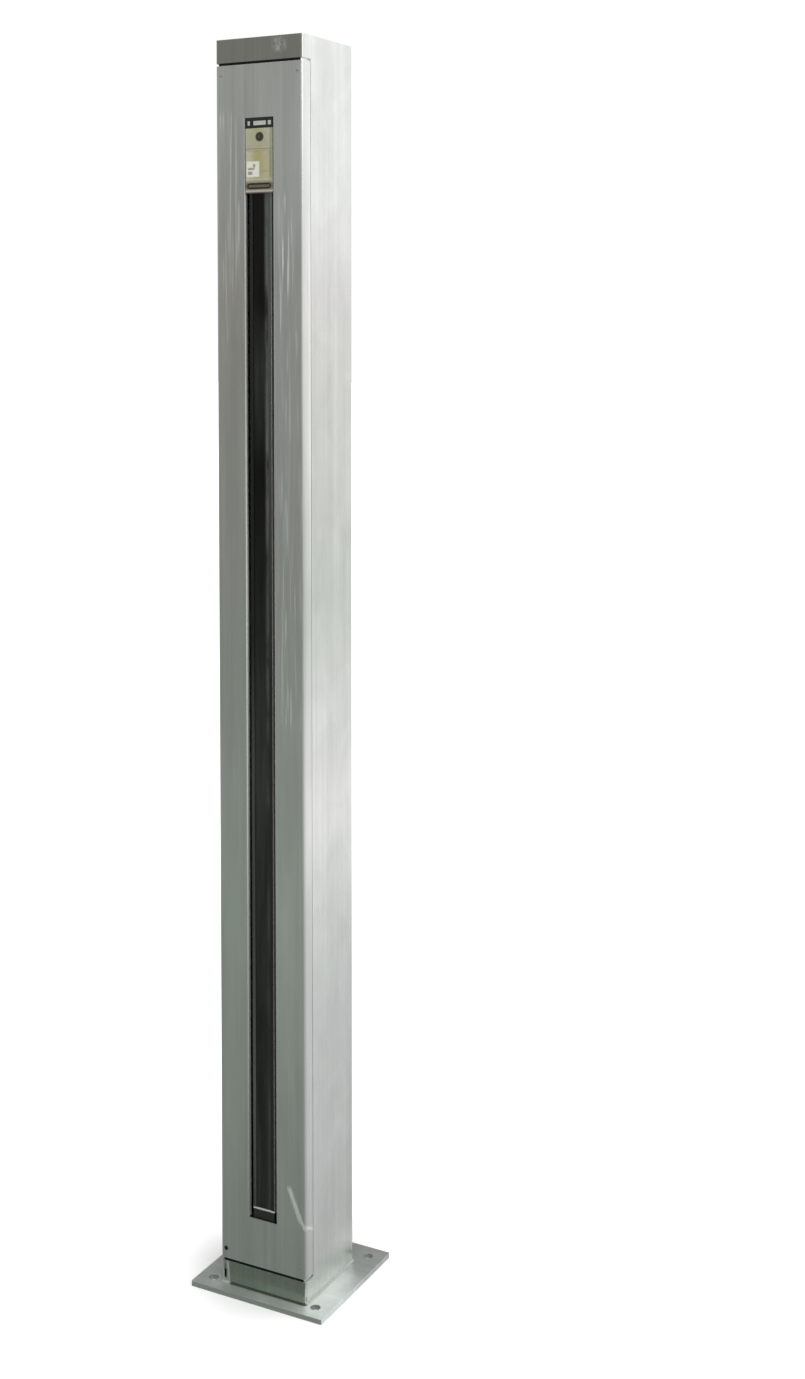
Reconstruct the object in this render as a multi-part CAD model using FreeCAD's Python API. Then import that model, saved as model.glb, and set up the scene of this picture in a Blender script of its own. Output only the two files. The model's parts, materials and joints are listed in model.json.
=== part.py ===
"""Floor-standing safety light curtain: a stainless steel column with a screwed-on front cover, and
the light curtain that looks out of the slot in that cover.

Millimetres, +Z up. The origin is the middle of the base plate's underside. The slot faces -Y, and the
back of the column, with its cable gland, faces +Y.
"""

import FreeCAD
import Part

import math
import os

# Base plate
PLATE_WIDTH = 184.0
PLATE_DEPTH = 170.0
PLATE_THICKNESS = 6.0
PLATE_CORNER_RADIUS = 2.0
ANCHOR_INSET = 20.0
ANCHOR_HOLE_DIAMETER = 12.0

# Column: a rectangular tube whose front is cut away between two closed bands
COLUMN_WIDTH = 120.0
COLUMN_DEPTH = 116.0
COLUMN_HEIGHT = 1500.0
COLUMN_WALL = 2.0
COLUMN_BEND_RADIUS = 4.0
COLUMN_FORWARD = 9.0
BAND_HEIGHT = 27.5
BAND_SLOT_WIDTH = 3.0
BAND_SLOT_HEIGHT = 18.0
BAND_SLOT_SIDE_INSET = 6.5
BAND_SLOT_ABOVE_BASE = 14.5
WELD_LEG = 2.0
WELD_CHAMFER = 1.8
TOP_PLATE_THICKNESS = 3.0

# Front cover
COVER_WALL = 1.5
COVER_FLANGE = 17.0
COVER_END_GAP = 3.0
COVER_SEAM_GAP = 0.8
SLOT_WIDTH = 38.0
SLOT_LOWER_MARGIN = 58.5
SLOT_UPPER_MARGIN = 62.5
SLOT_LIP_DEPTH = 5.0
SLOT_LIP_RADIUS = 1.9
COVER_SCREW_SIDE_INSET = 7.5
COVER_SCREW_END_INSET = 12.0

# Cover supports inside the column: two rails, two straps and a foam gasket on their faces
SUPPORT_WALL = 1.5
SUPPORT_BEND_RADIUS = 3.0
RAIL_LEG_DEPTH = 38.0
RAIL_FACE_WIDTH = 14.0
SUPPORT_BEHIND_BAND = 12.0
GASKET_WIDTH = 10.0
GASKET_SIDE_CLEARANCE = 0.2

# Countersunk cover screw and the rivet nut it goes into
COVER_SCREW_DIAMETER = 3.0
COVER_SCREW_HEAD_DIAMETER = 5.6
COVER_SCREW_LENGTH = 10.0
COVER_SCREW_SOCKET = 2.0
RIVET_NUT_DIAMETER = 5.0
RIVET_NUT_FLANGE_DIAMETER = 6.6
RIVET_NUT_FLANGE = 0.4
RIVET_NUT_LENGTH = 9.0
THREAD_CLEARANCE = 0.05

# Light curtain: beam section
CURTAIN_WIDTH = 30.0
CURTAIN_DEPTH = 38.0
CURTAIN_RECESS = 2.5
CURTAIN_EDGE_RADIUS = 1.0
CURTAIN_SIDE_WALL = 5.5
CURTAIN_BACK_WALL = 2.0
WINDOW_VISIBLE_WIDTH = 21.0
WINDOW_RECESS = 1.0
WINDOW_THICKNESS = 2.0
WINDOW_BITE = 1.0
WINDOW_SEAL_THICKNESS = 0.7
SLIDE_CLEARANCE = 0.1
BOARD_BITE = 0.8
LENS_STRIP_DEPTH = 7.0
LENS_STRIP_THICKNESS = 3.0
LENS_DIAMETER = 14.0
LENS_HEIGHT = 2.2
LENS_SHELF_OPENING = 15.0
LENS_SHELF_THICKNESS = 1.5
BEAM_PITCH = 40.0
BEAM_END_MARGIN = 10.0
BOARD_DEPTH = 22.0
BOARD_THICKNESS = 1.6
DIODE_WIDTH = 4.4
DIODE_HEIGHT = 5.8
DIODE_STAND = 3.0
STRIP_END_CLEARANCE = 1.0

# T-grooves in both sides of the beam section, and its screw ports
GROOVE_DEPTH_POSITION = 30.0
GROOVE_MOUTH = 4.6
GROOVE_LIP = 1.6
GROOVE_UNDERCUT_WIDTH = 7.8
GROOVE_UNDERCUT_DEPTH = 2.4
PORT_SIDE_INSET = 2.2
PORT_FRONT_DEPTH = 8.0
PORT_REAR_DEPTH = 21.5
END_SCREW_DIAMETER = 2.5
END_SCREW_HEAD_DIAMETER = 4.4
END_SCREW_HEAD_HEIGHT = 2.0
END_SCREW_BITE = 12.0
END_SCREW_TIP_CLEARANCE = 1.0

# Lower end of the light curtain
LOWER_CAP_SHOWING = 11.5
LOWER_CAP_HIDDEN = 12.0
LOWER_GASKET_THICKNESS = 2.0
SPIGOT_HEIGHT = 8.0
SPIGOT_WALL = 2.0
SPIGOT_CLEARANCE = 0.2
CONNECTOR_DIAMETER = 12.0
CONNECTOR_FLANGE_DIAMETER = 16.0
CONNECTOR_FLANGE = 3.0
CONNECTOR_LENGTH = 10.0
CONNECTOR_WALL = 1.2
CONNECTOR_DEPTH_POSITION = 18.0
WIRE_PASSAGE_DIAMETER = 7.0
CONTACT_DIAMETER = 1.0
CONTACT_CIRCLE_DIAMETER = 5.0
CONTACT_COUNT = 5
CONTACT_RECESS = 1.0

# Display head, flush with the cover's face
HEAD_CLEARANCE = 0.4
HEAD_DEPTH = 36.0
HEAD_WALL = 2.0
HEAD_EDGE_RADIUS = 0.6
ADAPTER_THICKNESS = 3.5
SLEEVE_HEIGHT = 72.0
UPPER_CAP_HEIGHT = 12.1
SLEEVE_GROOVE_HEIGHT = 48.0
SLEEVE_GROOVE_WIDTH = 0.6
SLEEVE_GROOVE_DEPTH = 0.4
BOSS_DIAMETER = 6.0
BOSS_INSET = 4.4
TIE_SCREW_DIAMETER = 2.5
TIE_SCREW_HEAD_DIAMETER = 4.6
TIE_SCREW_HEAD_HEIGHT = 2.0
TIE_SCREW_TIP_CLEARANCE = 0.5
PASSAGE_WIDTH = 12.0
PASSAGE_DEPTH = 10.0
DISPLAY_SEGMENTS = ((-15.3, 3.1), (-7.2, 16.9), (12.5, 4.2))
SEGMENT_HEIGHT = 4.9
SEGMENT_ABOVE_CAP_BASE = 3.5
SEGMENT_THICKNESS = 0.8
STATUS_LENS_DIAMETER = 9.0
STATUS_LENS_ABOVE_BASE = 62.0
STATUS_LENS_OFFSET = 1.0
STATUS_LENS_PROUD = 0.8
STATUS_LENS_FLANGE_DIAMETER = 11.0
STATUS_LENS_FLANGE = 1.0
LABEL_WIDTH = 34.4
LABEL_HEIGHT = 34.0
LABEL_ABOVE_BASE = 11.5
LABEL_THICKNESS = 0.4
LABEL_CLEARANCE = 0.1
BADGE_LENGTH = 32.0
BADGE_HEIGHT = 7.0
BADGE_ABOVE_BASE = 4.8
BADGE_DEPTH = 1.0
BADGE_RIM = 1.6
CONTROL_BOARD_DEPTH = 12.0
CONTROL_BOARD_WIDTH = 23.0
CONTROL_BOARD_HEIGHT = 60.0
CONTROL_BOARD_ABOVE_BASE = 8.0
STANDOFF_DIAMETER = 5.0
LOWER_STANDOFF_INSET = 6.0
UPPER_STANDOFF_INSET = 20.0
BOARD_SCREW_DIAMETER = 2.0
BOARD_SCREW_HEAD_DIAMETER = 3.8
BOARD_SCREW_HEAD_HEIGHT = 1.4
BOARD_SCREW_LENGTH = 7.0
BOARD_SCREW_TIP_CLEARANCE = 0.5
STATUS_LED_DIAMETER = 5.0
STATUS_LED_HEIGHT = 6.0

# Hat-section mounting rail on the back wall, and the three brackets that carry the light curtain
MOUNT_RAIL_WALL = 2.0
MOUNT_RAIL_WIDTH = 40.0
MOUNT_RAIL_PROJECTION = 20.0
MOUNT_RAIL_FOOT = 12.0
MOUNT_RAIL_BEND_RADIUS = 3.0
MOUNT_RAIL_BASE_MARGIN = 64.0
MOUNT_RAIL_TOP_MARGIN = 50.0
BRACKET_WALL = 2.0
BRACKET_HEIGHT = 30.0
BRACKET_BEND_RADIUS = 3.0
BRACKET_SIDE_CLEARANCE = 0.3
BRACKET_ARM_PAST_GROOVE = 6.0
BRACKET_END_INSET = 75.0
BRACKET_BOLT_SPACING = 16.0
BRACKET_BOLT_DIAMETER = 5.0
BRACKET_BOLT_LENGTH = 10.0
BOLT_HOLE_CLEARANCE = 0.25
BOLT_HEAD_HEIGHT = 3.5
HEX_ACROSS_FLATS = 8.0
NUT_HEIGHT = 4.0
CLAMP_SCREW_DIAMETER = 4.0
CLAMP_SCREW_HEAD_DIAMETER = 7.6
CLAMP_SCREW_HEAD_HEIGHT = 2.2
CLAMP_SCREW_SOCKET = 2.5
SLOT_NUT_LENGTH = 12.0

# Cable gland in the back wall
GLAND_HEIGHT = 45.0
GLAND_THREAD_DIAMETER = 20.0
GLAND_WALL_CLEARANCE = 0.1
GLAND_WASHER_DIAMETER = 27.0
GLAND_WASHER_THICKNESS = 1.5
GLAND_HEX_FLATS = 24.0
GLAND_HEX_HEIGHT = 5.0
GLAND_THREAD_LENGTH = 9.0
GLAND_LOCKNUT_HEIGHT = 4.0
GLAND_NECK_DIAMETER = 18.0
GLAND_NECK_LENGTH = 9.0
GLAND_BORE_DIAMETER = 10.0
GLAND_SEAL_DIAMETER = 14.0
GLAND_SEAL_LENGTH = 12.0
GLAND_SEAL_SEAT = 2.0
GLAND_CAP_FLATS = 22.0
GLAND_CAP_LENGTH = 15.0
GLAND_CAP_LIP = 2.0
GLAND_CAP_BORE_DIAMETER = 11.0
GLAND_CAP_CONE_DIAMETER = 41.8
GLAND_CAP_END_DIAMETER = 16.7
GLAND_FIT = 0.1
CABLE_BORE_DIAMETER = 8.0

# Places worked out from the sizes above
FRONT_Y = -COLUMN_FORWARD - COLUMN_DEPTH / 2
BACK_Y = FRONT_Y + COLUMN_DEPTH
BACK_INNER_Y = BACK_Y - COLUMN_WALL
COLUMN_BASE_Z = PLATE_THICKNESS
COLUMN_TOP_Z = COLUMN_BASE_Z + COLUMN_HEIGHT
OPENING_LOW_Z = COLUMN_BASE_Z + BAND_HEIGHT
OPENING_HIGH_Z = COLUMN_TOP_Z - BAND_HEIGHT
COVER_LOW_Z = OPENING_LOW_Z + COVER_END_GAP
COVER_HIGH_Z = OPENING_HIGH_Z - COVER_END_GAP
SLOT_LOW_Z = COVER_LOW_Z + SLOT_LOWER_MARGIN
SLOT_HIGH_Z = COVER_HIGH_Z - SLOT_UPPER_MARGIN
SUPPORT_FACE_Y = FRONT_Y + COLUMN_WALL
COVER_INNER_Y = FRONT_Y + COVER_WALL
INNER_HALF_WIDTH = COLUMN_WIDTH / 2 - COLUMN_WALL
RAIL_INNER_X = INNER_HALF_WIDTH - RAIL_FACE_WIDTH
COVER_SCREW_X = COLUMN_WIDTH / 2 - COVER_SCREW_SIDE_INSET
COVER_SCREW_Z = (COVER_LOW_Z + COVER_SCREW_END_INSET, COVER_HIGH_Z - COVER_SCREW_END_INSET)

CURTAIN_FRONT_Y = FRONT_Y + CURTAIN_RECESS
CURTAIN_BACK_Y = CURTAIN_FRONT_Y + CURTAIN_DEPTH
CAVITY_HALF_WIDTH = CURTAIN_WIDTH / 2 - CURTAIN_SIDE_WALL
LOWER_CAP_LOW_Z = SLOT_LOW_Z - LOWER_CAP_HIDDEN
LOWER_CAP_HIGH_Z = SLOT_LOW_Z + LOWER_CAP_SHOWING
BEAM_LOW_Z = LOWER_CAP_HIGH_Z + LOWER_GASKET_THICKNESS
HEAD_HIGH_Z = SLOT_HIGH_Z - HEAD_CLEARANCE
HEAD_WIDTH = SLOT_WIDTH - 2 * HEAD_CLEARANCE
SLEEVE_HIGH_Z = HEAD_HIGH_Z - UPPER_CAP_HEIGHT
SLEEVE_LOW_Z = SLEEVE_HIGH_Z - SLEEVE_HEIGHT
BEAM_HIGH_Z = SLEEVE_LOW_Z - ADAPTER_THICKNESS
GROOVE_Y = CURTAIN_FRONT_Y + GROOVE_DEPTH_POSITION
GROOVE_DEPTH = GROOVE_LIP + GROOVE_UNDERCUT_DEPTH
PORT_X = CURTAIN_WIDTH / 2 - PORT_SIDE_INSET
PORT_POINTS = [
    (side * PORT_X, CURTAIN_FRONT_Y + depth)
    for side in (-1, 1)
    for depth in (PORT_FRONT_DEPTH, PORT_REAR_DEPTH)
]
BOARD_HALF_WIDTH = CAVITY_HALF_WIDTH + BOARD_BITE
BOSS_POINTS = [
    (side * (HEAD_WIDTH / 2 - BOSS_INSET), y)
    for side in (-1, 1)
    for y in (FRONT_Y + BOSS_INSET, FRONT_Y + HEAD_DEPTH - BOSS_INSET)
]
STANDOFF_Z = (
    SLEEVE_LOW_Z + CONTROL_BOARD_ABOVE_BASE + LOWER_STANDOFF_INSET,
    SLEEVE_LOW_Z + CONTROL_BOARD_ABOVE_BASE + CONTROL_BOARD_HEIGHT - UPPER_STANDOFF_INSET,
)

MOUNT_RAIL_FACE_Y = BACK_INNER_Y - MOUNT_RAIL_PROJECTION
BRACKET_INNER_X = CURTAIN_WIDTH / 2 + BRACKET_SIDE_CLEARANCE
BRACKET_BASE_Y = MOUNT_RAIL_FACE_Y - BRACKET_WALL
BRACKET_Z = {
    "lower": BEAM_LOW_Z + BRACKET_END_INSET,
    "middle": (BEAM_LOW_Z + BEAM_HIGH_Z) / 2,
    "upper": BEAM_HIGH_Z - BRACKET_END_INSET,
}
GLAND_Z = COLUMN_BASE_Z + GLAND_HEIGHT

Z_AXIS = FreeCAD.Vector(0, 0, 1)
Y_AXIS = FreeCAD.Vector(0, 1, 0)
X_AXIS = FreeCAD.Vector(1, 0, 0)


def vec(x, y, z=0.0):
    return FreeCAD.Vector(x, y, z)


def block(x_range, y_range, z_range):
    """A box between pairs of coordinates."""
    low = vec(x_range[0], y_range[0], z_range[0])
    return Part.makeBox(
        x_range[1] - x_range[0], y_range[1] - y_range[0], z_range[1] - z_range[0], low
    )


def rod(diameter, length, start, axis=Z_AXIS):
    """A round bar that starts at a point and runs along an axis."""
    return Part.makeCylinder(diameter / 2, length, start, axis)


def rounded_rectangle(x_range, y_range, radius, z=0.0):
    """A flat face in the XY plane with rounded corners."""
    x0, x1 = x_range
    y0, y1 = y_range
    corners = [(x0, y0), (x1, y0), (x1, y1), (x0, y1)]
    return filleted_face(corners, [radius] * len(corners), z)


def filleted_face(corners, radii, z=0.0):
    """A closed face from its corner points, with each corner rounded to its own radius."""
    edges = []
    starts, ends = [], []
    count = len(corners)
    for i, corner in enumerate(corners):
        before, here, after = vec(*corners[i - 1]), vec(*corner), vec(*corners[(i + 1) % count])
        first, second, middle = corner_points(before, here, after, radii[i])
        starts.append(first)
        ends.append(second)
        if radii[i] > 0:
            edges.append((i, Part.Arc(first, middle, second).toShape()))
    outline = []
    for i in range(count):
        outline += [arc for index, arc in edges if index == i]
        outline.append(Part.LineSegment(ends[i], starts[(i + 1) % count]).toShape())
    face = Part.Face(Part.Wire(Part.__sortEdges__(outline)))
    face.translate(vec(0, 0, z))
    return face


def corner_points(before, here, after, radius):
    """Where a rounded corner starts, where it ends, and the middle of its arc."""
    into = (here - before).normalize()
    away = (after - here).normalize()
    turn = into.getAngle(away)
    reach = radius * math.tan(turn / 2)
    first, second = here - into * reach, here + away * reach
    if radius <= 0 or turn < 1e-9:
        return here, here, here
    inward = (away - into).normalize()
    centre = here + inward * (radius / math.cos(turn / 2))
    return first, second, centre - inward * radius


def bent_sheet(points, thickness, outer_radius):
    """The section of a folded sheet. The points follow one face, and the sheet lies on its right."""
    path = [vec(*p) for p in points]
    last = len(path) - 1
    other = []
    turns = []
    for i, here in enumerate(path):
        into = (here - path[i - 1]).normalize() if i else None
        away = (path[i + 1] - here).normalize() if i < last else None
        normals = [vec(d.y, -d.x) for d in (into, away) if d is not None]
        across = (normals[0] + normals[-1]).normalize()
        other.append(here + across * (thickness / across.dot(normals[0])))
        turns.append(into.cross(away).z if into is not None and away is not None else 0.0)
    inner_radius = outer_radius - thickness
    corners, radii = [], []
    for face, outside_turn in ((path, -1), (other, 1)):
        order = range(last + 1) if face is path else range(last, -1, -1)
        for i in order:
            is_outside = turns[i] * outside_turn > 0
            corners.append((face[i].x, face[i].y))
            radii.append(0.0 if not turns[i] else outer_radius if is_outside else inner_radius)
    return filleted_face(corners, radii)


def raise_face(face, low_z, high_z):
    """A straight prism between two heights, from a face drawn at height zero."""
    moved = face.copy()
    moved.translate(vec(0, 0, low_z))
    return moved.extrude(vec(0, 0, high_z - low_z))


def mirrored(shape):
    """The same shape on the other side of the column's middle plane."""
    return shape.mirror(vec(0, 0, 0), X_AXIS)


def hexagon_bar(across_flats, length, start, axis):
    """A hexagonal bar that starts at a point and runs along an axis."""
    radius = across_flats / math.sqrt(3)
    corners = [
        vec(radius * math.cos(math.radians(60 * i)), radius * math.sin(math.radians(60 * i)))
        for i in range(6)
    ]
    bar = Part.Face(Part.makePolygon(corners + corners[:1])).extrude(vec(0, 0, length))
    bar.Placement = FreeCAD.Placement(start, FreeCAD.Rotation(Z_AXIS, axis))
    return bar


def stadium(length, height, z):
    """A lying slot-shaped face in the front plane, centred on the column."""
    radius = height / 2
    reach = length / 2 - radius
    top_left, top_right = vec(-reach, FRONT_Y, z + radius), vec(reach, FRONT_Y, z + radius)
    low_left, low_right = vec(-reach, FRONT_Y, z - radius), vec(reach, FRONT_Y, z - radius)
    right_tip, left_tip = vec(length / 2, FRONT_Y, z), vec(-length / 2, FRONT_Y, z)
    edges = [
        Part.LineSegment(top_left, top_right).toShape(),
        Part.Arc(top_right, right_tip, low_right).toShape(),
        Part.LineSegment(low_right, low_left).toShape(),
        Part.Arc(low_left, left_tip, top_left).toShape(),
    ]
    return Part.Face(Part.Wire(edges))


def cut_all(shape, tools):
    return shape.cut(Part.makeCompound(tools)) if tools else shape


def column_outline(inset, radius):
    """The column's plan, drawn in by an inset from its outside."""
    half = COLUMN_WIDTH / 2 - inset
    return rounded_rectangle((-half, half), (FRONT_Y + inset, BACK_Y - inset), radius)


# Column and base


def base_plate():
    half_width, half_depth = PLATE_WIDTH / 2, PLATE_DEPTH / 2
    face = rounded_rectangle(
        (-half_width, half_width), (-half_depth, half_depth), PLATE_CORNER_RADIUS
    )
    plate = raise_face(face, 0, PLATE_THICKNESS)
    holes = [
        rod(
            ANCHOR_HOLE_DIAMETER,
            PLATE_THICKNESS,
            vec(sx * (half_width - ANCHOR_INSET), sy * (half_depth - ANCHOR_INSET)),
        )
        for sx in (-1, 1)
        for sy in (-1, 1)
    ]
    return cut_all(plate, holes)


def column_tube():
    inner_radius = COLUMN_BEND_RADIUS - COLUMN_WALL
    outside = raise_face(column_outline(0, COLUMN_BEND_RADIUS), COLUMN_BASE_Z, COLUMN_TOP_Z)
    inside = raise_face(column_outline(COLUMN_WALL, inner_radius), COLUMN_BASE_Z, COLUMN_TOP_Z)
    opening = block(
        (-COLUMN_WIDTH, COLUMN_WIDTH),
        (FRONT_Y - COLUMN_WALL, FRONT_Y + COVER_FLANGE + COVER_SEAM_GAP),
        (OPENING_LOW_Z, OPENING_HIGH_Z),
    )
    gland_hole = rod(
        GLAND_THREAD_DIAMETER + 2 * GLAND_WALL_CLEARANCE,
        2 * COLUMN_WALL,
        vec(0, BACK_Y - 1.5 * COLUMN_WALL, GLAND_Z),
        Y_AXIS,
    )
    return cut_all(outside.cut(inside), [opening, gland_hole, band_slot()])


def band_slot():
    """Upright slot with round ends through the lower band, near its left end."""
    x = -COLUMN_WIDTH / 2 + BAND_SLOT_SIDE_INSET
    middle_z = COLUMN_BASE_Z + BAND_SLOT_ABOVE_BASE
    reach = (BAND_SLOT_HEIGHT - BAND_SLOT_WIDTH) / 2
    y_range = (FRONT_Y - COLUMN_WALL, FRONT_Y + 2 * COLUMN_WALL)
    half = BAND_SLOT_WIDTH / 2
    middle = block((x - half, x + half), y_range, (middle_z - reach, middle_z + reach))
    ends = [
        rod(BAND_SLOT_WIDTH, y_range[1] - y_range[0], vec(x, y_range[0], z), Y_AXIS)
        for z in (middle_z - reach, middle_z + reach)
    ]
    return middle.multiFuse(ends)


def base_weld():
    """Fillet bead round the foot of the column."""
    foot = raise_face(
        column_outline(-WELD_LEG, COLUMN_BEND_RADIUS + WELD_LEG),
        COLUMN_BASE_Z,
        COLUMN_BASE_Z + WELD_LEG,
    )
    top_edges = [e for e in foot.Edges if e.BoundBox.ZMin > COLUMN_BASE_Z + WELD_LEG / 2]
    bead = foot.makeChamfer(WELD_CHAMFER, top_edges)
    core = raise_face(
        column_outline(0, COLUMN_BEND_RADIUS), COLUMN_BASE_Z, COLUMN_BASE_Z + 2 * WELD_LEG
    )
    return bead.cut(core)


def top_plate():
    outline = column_outline(COLUMN_WALL, COLUMN_BEND_RADIUS - COLUMN_WALL)
    return raise_face(outline, COLUMN_TOP_Z - TOP_PLATE_THICKNESS, COLUMN_TOP_Z)


# Front cover and what holds it


def cover_channel():
    """Folded channel of the whole cover: its face and the flange down each side."""
    outer_x = COLUMN_WIDTH / 2
    points = [
        (outer_x, FRONT_Y + COVER_FLANGE),
        (outer_x, FRONT_Y),
        (-outer_x, FRONT_Y),
        (-outer_x, FRONT_Y + COVER_FLANGE),
    ]
    return raise_face(
        bent_sheet(points, COVER_WALL, COLUMN_BEND_RADIUS), COVER_LOW_Z, COVER_HIGH_Z
    )


def slot_lip():
    """Right-hand edge of the slot, folded back into the column."""
    edge_x = SLOT_WIDTH / 2
    points = [
        (edge_x + 2 * SLOT_LIP_RADIUS, FRONT_Y),
        (edge_x, FRONT_Y),
        (edge_x, FRONT_Y + SLOT_LIP_DEPTH),
    ]
    return raise_face(bent_sheet(points, COVER_WALL, SLOT_LIP_RADIUS), SLOT_LOW_Z, SLOT_HIGH_Z)


def front_cover():
    half = SLOT_WIDTH / 2 + SLOT_LIP_RADIUS
    opening = block((-half, half), (FRONT_Y, COVER_INNER_Y), (SLOT_LOW_Z, SLOT_HIGH_Z))
    lip = slot_lip()
    cover = cover_channel().cut(opening).multiFuse([lip, mirrored(lip)]).removeSplitter()
    return cut_all(cover, [screw_blank(x, z, THREAD_CLEARANCE) for x, z in cover_screw_points()])


def cover_screw_points():
    return [(side * COVER_SCREW_X, z) for side in (-1, 1) for z in COVER_SCREW_Z]


def screw_blank(x, z, clearance):
    """A countersunk screw's outside, along +Y from the cover's face. The clearance is its shank's."""
    radius = COVER_SCREW_DIAMETER / 2 + clearance
    head_radius = COVER_SCREW_HEAD_DIAMETER / 2
    cone = Part.makeCone(head_radius, radius, head_radius - radius, vec(x, FRONT_Y, z), Y_AXIS)
    return cone.fuse(rod(2 * radius, COVER_SCREW_LENGTH + clearance, vec(x, FRONT_Y, z), Y_AXIS))


def cover_screws():
    screws = []
    for x, z in cover_screw_points():
        socket = hexagon_bar(
            COVER_SCREW_SOCKET, COVER_SCREW_DIAMETER / 2, vec(x, FRONT_Y, z), Y_AXIS
        )
        screws.append(screw_blank(x, z, 0).removeSplitter().cut(socket))
    return Part.makeCompound(screws)


def rivet_nuts():
    nuts = []
    for x, z in cover_screw_points():
        flange = rod(
            RIVET_NUT_FLANGE_DIAMETER,
            RIVET_NUT_FLANGE,
            vec(x, SUPPORT_FACE_Y - RIVET_NUT_FLANGE, z),
            Y_AXIS,
        )
        body = rod(RIVET_NUT_DIAMETER, RIVET_NUT_LENGTH, vec(x, SUPPORT_FACE_Y, z), Y_AXIS)
        thread = rod(
            COVER_SCREW_DIAMETER + 2 * THREAD_CLEARANCE,
            2 * RIVET_NUT_LENGTH,
            vec(x, FRONT_Y, z),
            Y_AXIS,
        )
        nuts.append(flange.fuse(body).removeSplitter().cut(thread))
    return Part.makeCompound(nuts)


def cover_rail():
    """Right-hand angle strip: one leg on the side wall, the other behind the cover's edge."""
    points = [
        (INNER_HALF_WIDTH, SUPPORT_FACE_Y + RAIL_LEG_DEPTH),
        (INNER_HALF_WIDTH, SUPPORT_FACE_Y),
        (RAIL_INNER_X, SUPPORT_FACE_Y),
    ]
    rail = raise_face(
        bent_sheet(points, SUPPORT_WALL, SUPPORT_BEND_RADIUS),
        OPENING_LOW_Z - SUPPORT_BEHIND_BAND,
        OPENING_HIGH_Z + SUPPORT_BEHIND_BAND,
    )
    holes = [
        rod(
            RIVET_NUT_DIAMETER + 2 * THREAD_CLEARANCE,
            3 * SUPPORT_WALL,
            vec(x, SUPPORT_FACE_Y - SUPPORT_WALL, z),
            Y_AXIS,
        )
        for x, z in cover_screw_points()
        if x > 0
    ]
    return cut_all(rail, holes)


def strap(low_z, high_z):
    """Flat strip across the column behind one end of the cover, between the two rails."""
    return block(
        (-RAIL_INNER_X, RAIL_INNER_X), (SUPPORT_FACE_Y, SUPPORT_FACE_Y + SUPPORT_WALL), (low_z, high_z)
    )


def lower_strap():
    return strap(OPENING_LOW_Z - SUPPORT_BEHIND_BAND, COVER_LOW_Z + GASKET_WIDTH)


def upper_strap():
    return strap(COVER_HIGH_Z - GASKET_WIDTH, OPENING_HIGH_Z + SUPPORT_BEHIND_BAND)


def cover_gasket():
    """Frame of foam tape between the cover and its supports, seen as a black line at each end."""
    half = COLUMN_WIDTH / 2 - COLUMN_BEND_RADIUS - GASKET_SIDE_CLEARANCE
    y_range = (COVER_INNER_Y, SUPPORT_FACE_Y)
    frame = block((-half, half), y_range, (OPENING_LOW_Z, OPENING_HIGH_Z))
    middle = block(
        (-half + GASKET_WIDTH, half - GASKET_WIDTH),
        y_range,
        (COVER_LOW_Z + GASKET_WIDTH, COVER_HIGH_Z - GASKET_WIDTH),
    )
    holes = [
        rod(
            RIVET_NUT_FLANGE_DIAMETER + 4 * THREAD_CLEARANCE,
            2 * COLUMN_WALL,
            vec(x, FRONT_Y, z),
            Y_AXIS,
        )
        for x, z in cover_screw_points()
    ]
    return cut_all(frame, [middle] + holes)


# Light curtain: beam section


def curtain_section_cuts():
    """Hollows of the beam section's extrusion, as boxes in plan: (half width, from depth, to depth)."""
    opening = WINDOW_VISIBLE_WIDTH / 2
    groove_end = WINDOW_RECESS + WINDOW_THICKNESS + WINDOW_SEAL_THICKNESS
    shelf_start, shelf_end = lens_shelf_depths()
    return [
        (opening, -WINDOW_RECESS, WINDOW_RECESS),
        (opening + WINDOW_BITE + SLIDE_CLEARANCE, WINDOW_RECESS, groove_end),
        (CAVITY_HALF_WIDTH, groove_end, shelf_start),
        (LENS_SHELF_OPENING / 2, shelf_start, shelf_end),
        (CAVITY_HALF_WIDTH, shelf_end, CURTAIN_DEPTH - CURTAIN_BACK_WALL),
        (BOARD_HALF_WIDTH + SLIDE_CLEARANCE, LENS_STRIP_DEPTH, shelf_start),
        (
            BOARD_HALF_WIDTH + SLIDE_CLEARANCE,
            BOARD_DEPTH,
            BOARD_DEPTH + BOARD_THICKNESS + SLIDE_CLEARANCE,
        ),
    ]


def lens_shelf_depths():
    """Where the two ribs behind the lens strip start and end."""
    start = LENS_STRIP_DEPTH + LENS_STRIP_THICKNESS + SLIDE_CLEARANCE
    return start, start + LENS_SHELF_THICKNESS


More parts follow.
